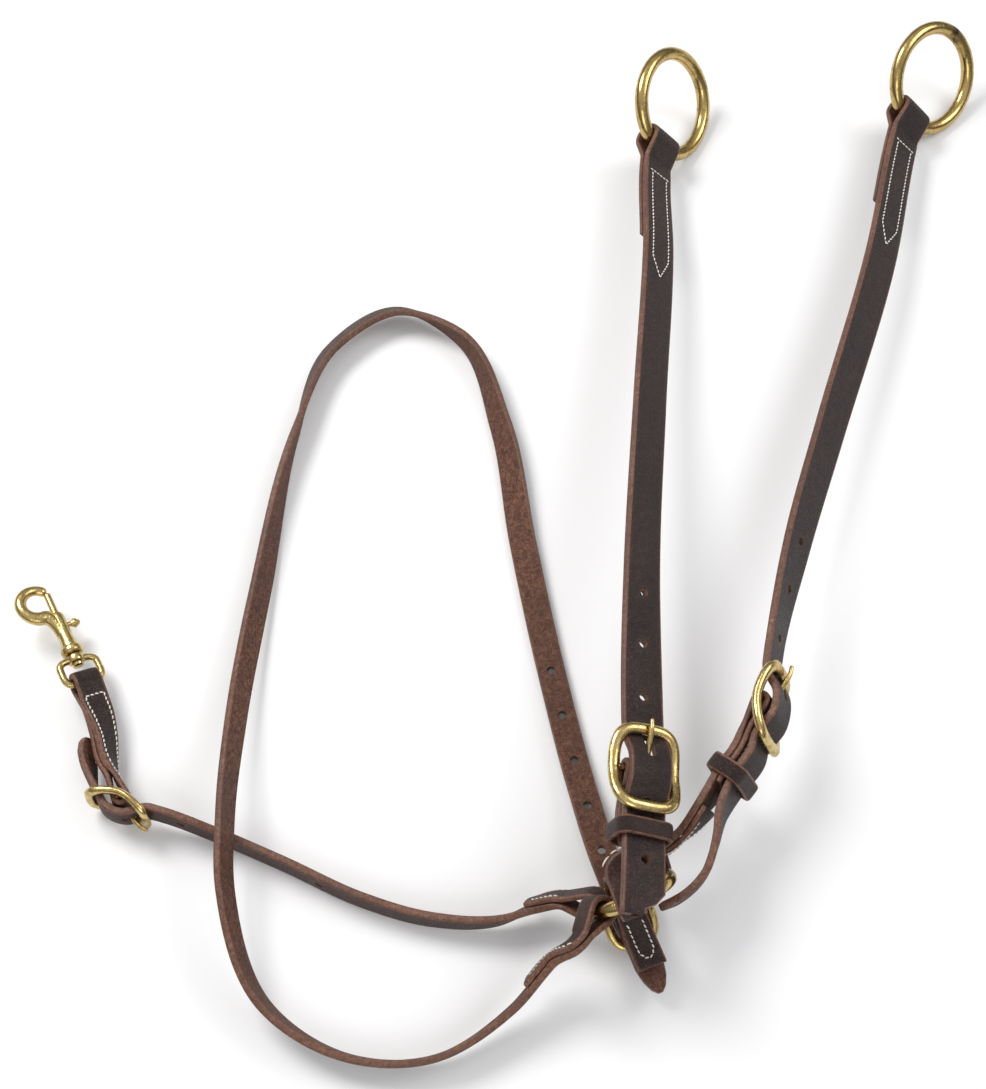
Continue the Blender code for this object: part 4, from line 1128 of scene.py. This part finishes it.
def makeTab():
    spot = chestBuckle
    eye = Vector(snapEye["centre"]) - snapUp * snapEye["low"]
    buckleFold = Fold(spot.place, -spot.u * 0.75 - spot.n * 0.66, -spot.v, spot.size["bar"] + 0.4,
                      leather["narrowWidth"], 30.0)
    eyeFold = Fold(eye, -snapUp, -snapSide, snapEye["wire"] + 1.55, leather["narrowWidth"], 30.0)
    lay = [(-168.8, -109.5, 12.8, -70), (-171.2, -98.5, 13.4, -54)]
    cols = layRoute(lay, start=buckleFold, end=eyeFold)
    bend = nearestAlong(cols, spot.at(spot.size["bar"] + 1.5, 0))
    makeStrap("snap_tab_leather", cols, oiledGrain, "snap_tab",
              slots=[(bend, 25.0, 2 * spot.size["pin"] + 1.7)])
    long = lengthOf(cols)
    low, high = 30 + 14 + 3, long - 30 - 19 - 2
    box = [(low, -4.3), (high, -4.3), (high, 4.3), (low, 4.3), (low, -4.3)]
    rows = [box] + pairedRows(4, 16, 4.3) + pairedRows(long - 16, long - 4, 4.3)
    makeStitching("tab_stitching", cols, rows, 39)


makeChest()
makeTab()
print("chest strap and snap tab laid")

# bolt snap


def snapAt(along, side, front=0.0):
    base = Vector(snapEye["centre"]) + snapUp * snapEye["high"]
    return base + (snapUp * along + snapSide * side + snapFront * front) * snapScale


def turnedPiece(name, profile, body, material, node=(), sides=40):
    # round about the snap's axis; profile rows are (along, radius), eased between rows
    rows = []
    for (a, r), (b, s) in zip(profile, profile[1:]):
        for t in np.linspace(0, 1, 4, endpoint=False):
            rows.append((a + (b - a) * t, r + (s - r) * t))
    rows.append(profile[-1])
    bm = bmesh.new()
    loops = []
    for along, radius in rows:
        loops.append([bm.verts.new(toMetres(snapAt(along, radius * math.cos(a), radius * math.sin(a))))
                      for a in np.linspace(0, 2 * math.pi, sides, endpoint=False)])
    joinLoops(bm, loops)
    capEnds(bm, loops)
    bmesh.ops.recalc_face_normals(bm, faces=bm.faces)
    piece = finishPiece(name, bm, [material], body, node)
    piece.data.set_sharp_from_angle(angle=math.radians(38))
    return piece


def makeSnap():
    eye = snapEye
    places = []
    for angle in np.radians(np.linspace(-90, 270, 96, endpoint=False)):
        reach = eye["high"] if math.sin(angle) > 0 else eye["low"]
        side = math.copysign(abs(math.cos(angle)) ** 0.5, math.cos(angle)) * eye["wide"]
        along = math.copysign(abs(math.sin(angle)) ** 0.5, math.sin(angle)) * reach
        places.append(Vector(eye["centre"]) + snapUp * along + snapSide * side)
    sweepRod("snap_eye_loop", evenLoop(places, 96), eye["wire"], castBrass, "snap_eye", closed=True,
             node=["snap_eye"])
    boss = [(-1.7, 1.8), (-1.7, 2.5), (-1.3, 3.1), (-0.4, 3.3), (0.8, 3.3), (1.5, 3.1), (1.9, 2.6),
            (1.9, 1.8)]
    turnedPiece("snap_eye_boss", boss, "snap_eye", castBrass)
    # swivel stem, collar, waist and barrel, then the neck that runs into the hook
    barrel = [(-3.2, 1.3), (-2.9, 2.1), (-2.1, 2.35), (-2.05, 1.5), (2.15, 1.5), (2.2, 3.5), (2.6, 4.05),
              (3.3, 4.3), (4.6, 4.3), (5.2, 3.9), (5.6, 3.3), (8.0, 3.0), (12.0, 2.75), (17.5, 2.75),
              (19.5, 2.6), (20.6, 2.3), (21.0, 1.9)]
    turnedPiece("snap_barrel", barrel, "snap_body", castBrass, ["snap_body"])
    hook = []
    for degrees in np.arange(52, 281, 5.0):
        angle = math.radians(degrees)
        hook.append((27.0 + 6.3 * math.sin(angle), -5.2 + 6.3 * math.cos(angle)))
    hook += [(18.6, -2.2), (15.5, -0.9), (11.5, -0.3)]
    line = smoothRoute([[a, s, 0, 0] for a, s in hook], step=0.5)[:, :2]
    share = np.linspace(0, 1, len(line))
    radius = 1.95 + 0.35 * blendOver(0.05, 0.4, share) + 0.45 * blendOver(0.5, 0.85, share)
    sweepRod("snap_hook", [snapAt(a, s) for a, s in line], radius * snapScale, castBrass, "snap_body",
             squash=(snapFront, 0.94), sides=24)
    turnedPiece("snap_bolt_rod", [(12.0, 1.0), (12.3, 1.45), (29.8, 1.45), (30.2, 1.3), (30.4, 1.0)],
                "snap_bolt", castBrass, ["snap_bolt"], sides=24)
    sweepRod("snap_bolt_stem", [snapAt(15.4, s) for s in np.linspace(0, 5.2, 8)], 0.95 * snapScale,
             castBrass, "snap_bolt")
    sweepRod("snap_bolt_knob", [snapAt(15.4, s) for s in (4.7, 5.0, 5.5, 6.1, 6.5)],
             np.array([1.4, 1.75, 1.85, 1.75, 1.3]) * snapScale, castBrass, "snap_bolt")
    coil = [snapAt(5.6 + 5.9 * t, 1.05 * math.cos(31.416 * t), 1.05 * math.sin(31.416 * t))
            for t in np.linspace(0, 1, 160)]
    sweepRod("snap_spring_coil", coil, 0.28 * snapScale, springSteel, "snap_body", node=["snap_spring"],
             sides=8)


makeSnap()
print("bolt snap made")

# table, light and camera
stage = {"size": 6.0, "far": 0.85, "tilt": 65, "lens": 1800 / 986 * 36}


def plainMaterial(name, colour, rough):
    material = bpy.data.materials.new(name)
    material.use_nodes = True
    shader = material.node_tree.nodes["Principled BSDF"]
    shader.inputs["Base Color"].default_value = (*colour, 1)
    shader.inputs["Roughness"].default_value = rough
    return material


bpy.ops.mesh.primitive_plane_add(size=stage["size"])
table = bpy.context.object
table.name = "pale_table"
table.data.materials.append(plainMaterial("paleTable", (0.86, 0.86, 0.87), 0.6))


def areaLight(name, place, target, size, power, colour=(1, 1, 1)):
    data = bpy.data.lights.new(name, "AREA")
    data.shape, data.size, data.energy, data.color = "DISK", size, power, colour
    lamp = bpy.data.objects.new(name, data)
    bpy.context.scene.collection.objects.link(lamp)
    lamp.location = place
    lamp.rotation_euler = (Vector(target) - Vector(place)).to_track_quat("-Z", "Y").to_euler()
    return lamp


areaLight("keyLight", (-0.75, 0.55, 1.15), (0, 0, 0), 0.7, 15, (1.0, 0.985, 0.96))
areaLight("fillLight", (1.1, 0.35, 1.0), (0, 0, 0), 0.9, 7, (0.96, 0.98, 1.0))
areaLight("frontLight", (0.1, -1.3, 0.9), (0, 0, 0), 1.0, 5.0)

world = bpy.data.worlds.new("studio")
bpy.context.scene.world = world
world.use_nodes = True
tree = world.node_tree
background = tree.nodes["Background"]
background.inputs["Strength"].default_value = 0.66
sky = tree.nodes.new("ShaderNodeTexCoord")
height = tree.nodes.new("ShaderNodeSeparateXYZ")
tree.links.new(sky.outputs["Generated"], height.inputs[0])
shade = rampNode(tree, height.outputs[2],
                 [(0.0, (0.16, 0.155, 0.15)), (0.3, (0.34, 0.34, 0.34)), (0.75, (1, 1, 1))])
tree.links.new(shade, background.inputs["Color"])

camera = bpy.data.objects.new("camera", bpy.data.cameras.new("camera"))
bpy.context.scene.collection.objects.link(camera)
tilt = math.radians(stage["tilt"])
ahead = Vector((0, math.cos(tilt), -math.sin(tilt)))
up = Vector((0, math.sin(tilt), math.cos(tilt)))
camera.location = toFrame - ahead * stage["far"]
camera.rotation_euler = Matrix((Vector((1, 0, 0)), up, -ahead)).transposed().to_euler()
camera.data.sensor_fit, camera.data.sensor_width, camera.data.lens = "HORIZONTAL", 36, stage["lens"]
bpy.context.scene.camera = camera
bpy.context.scene.view_settings.view_transform = "Standard"

print("table, light and camera set")
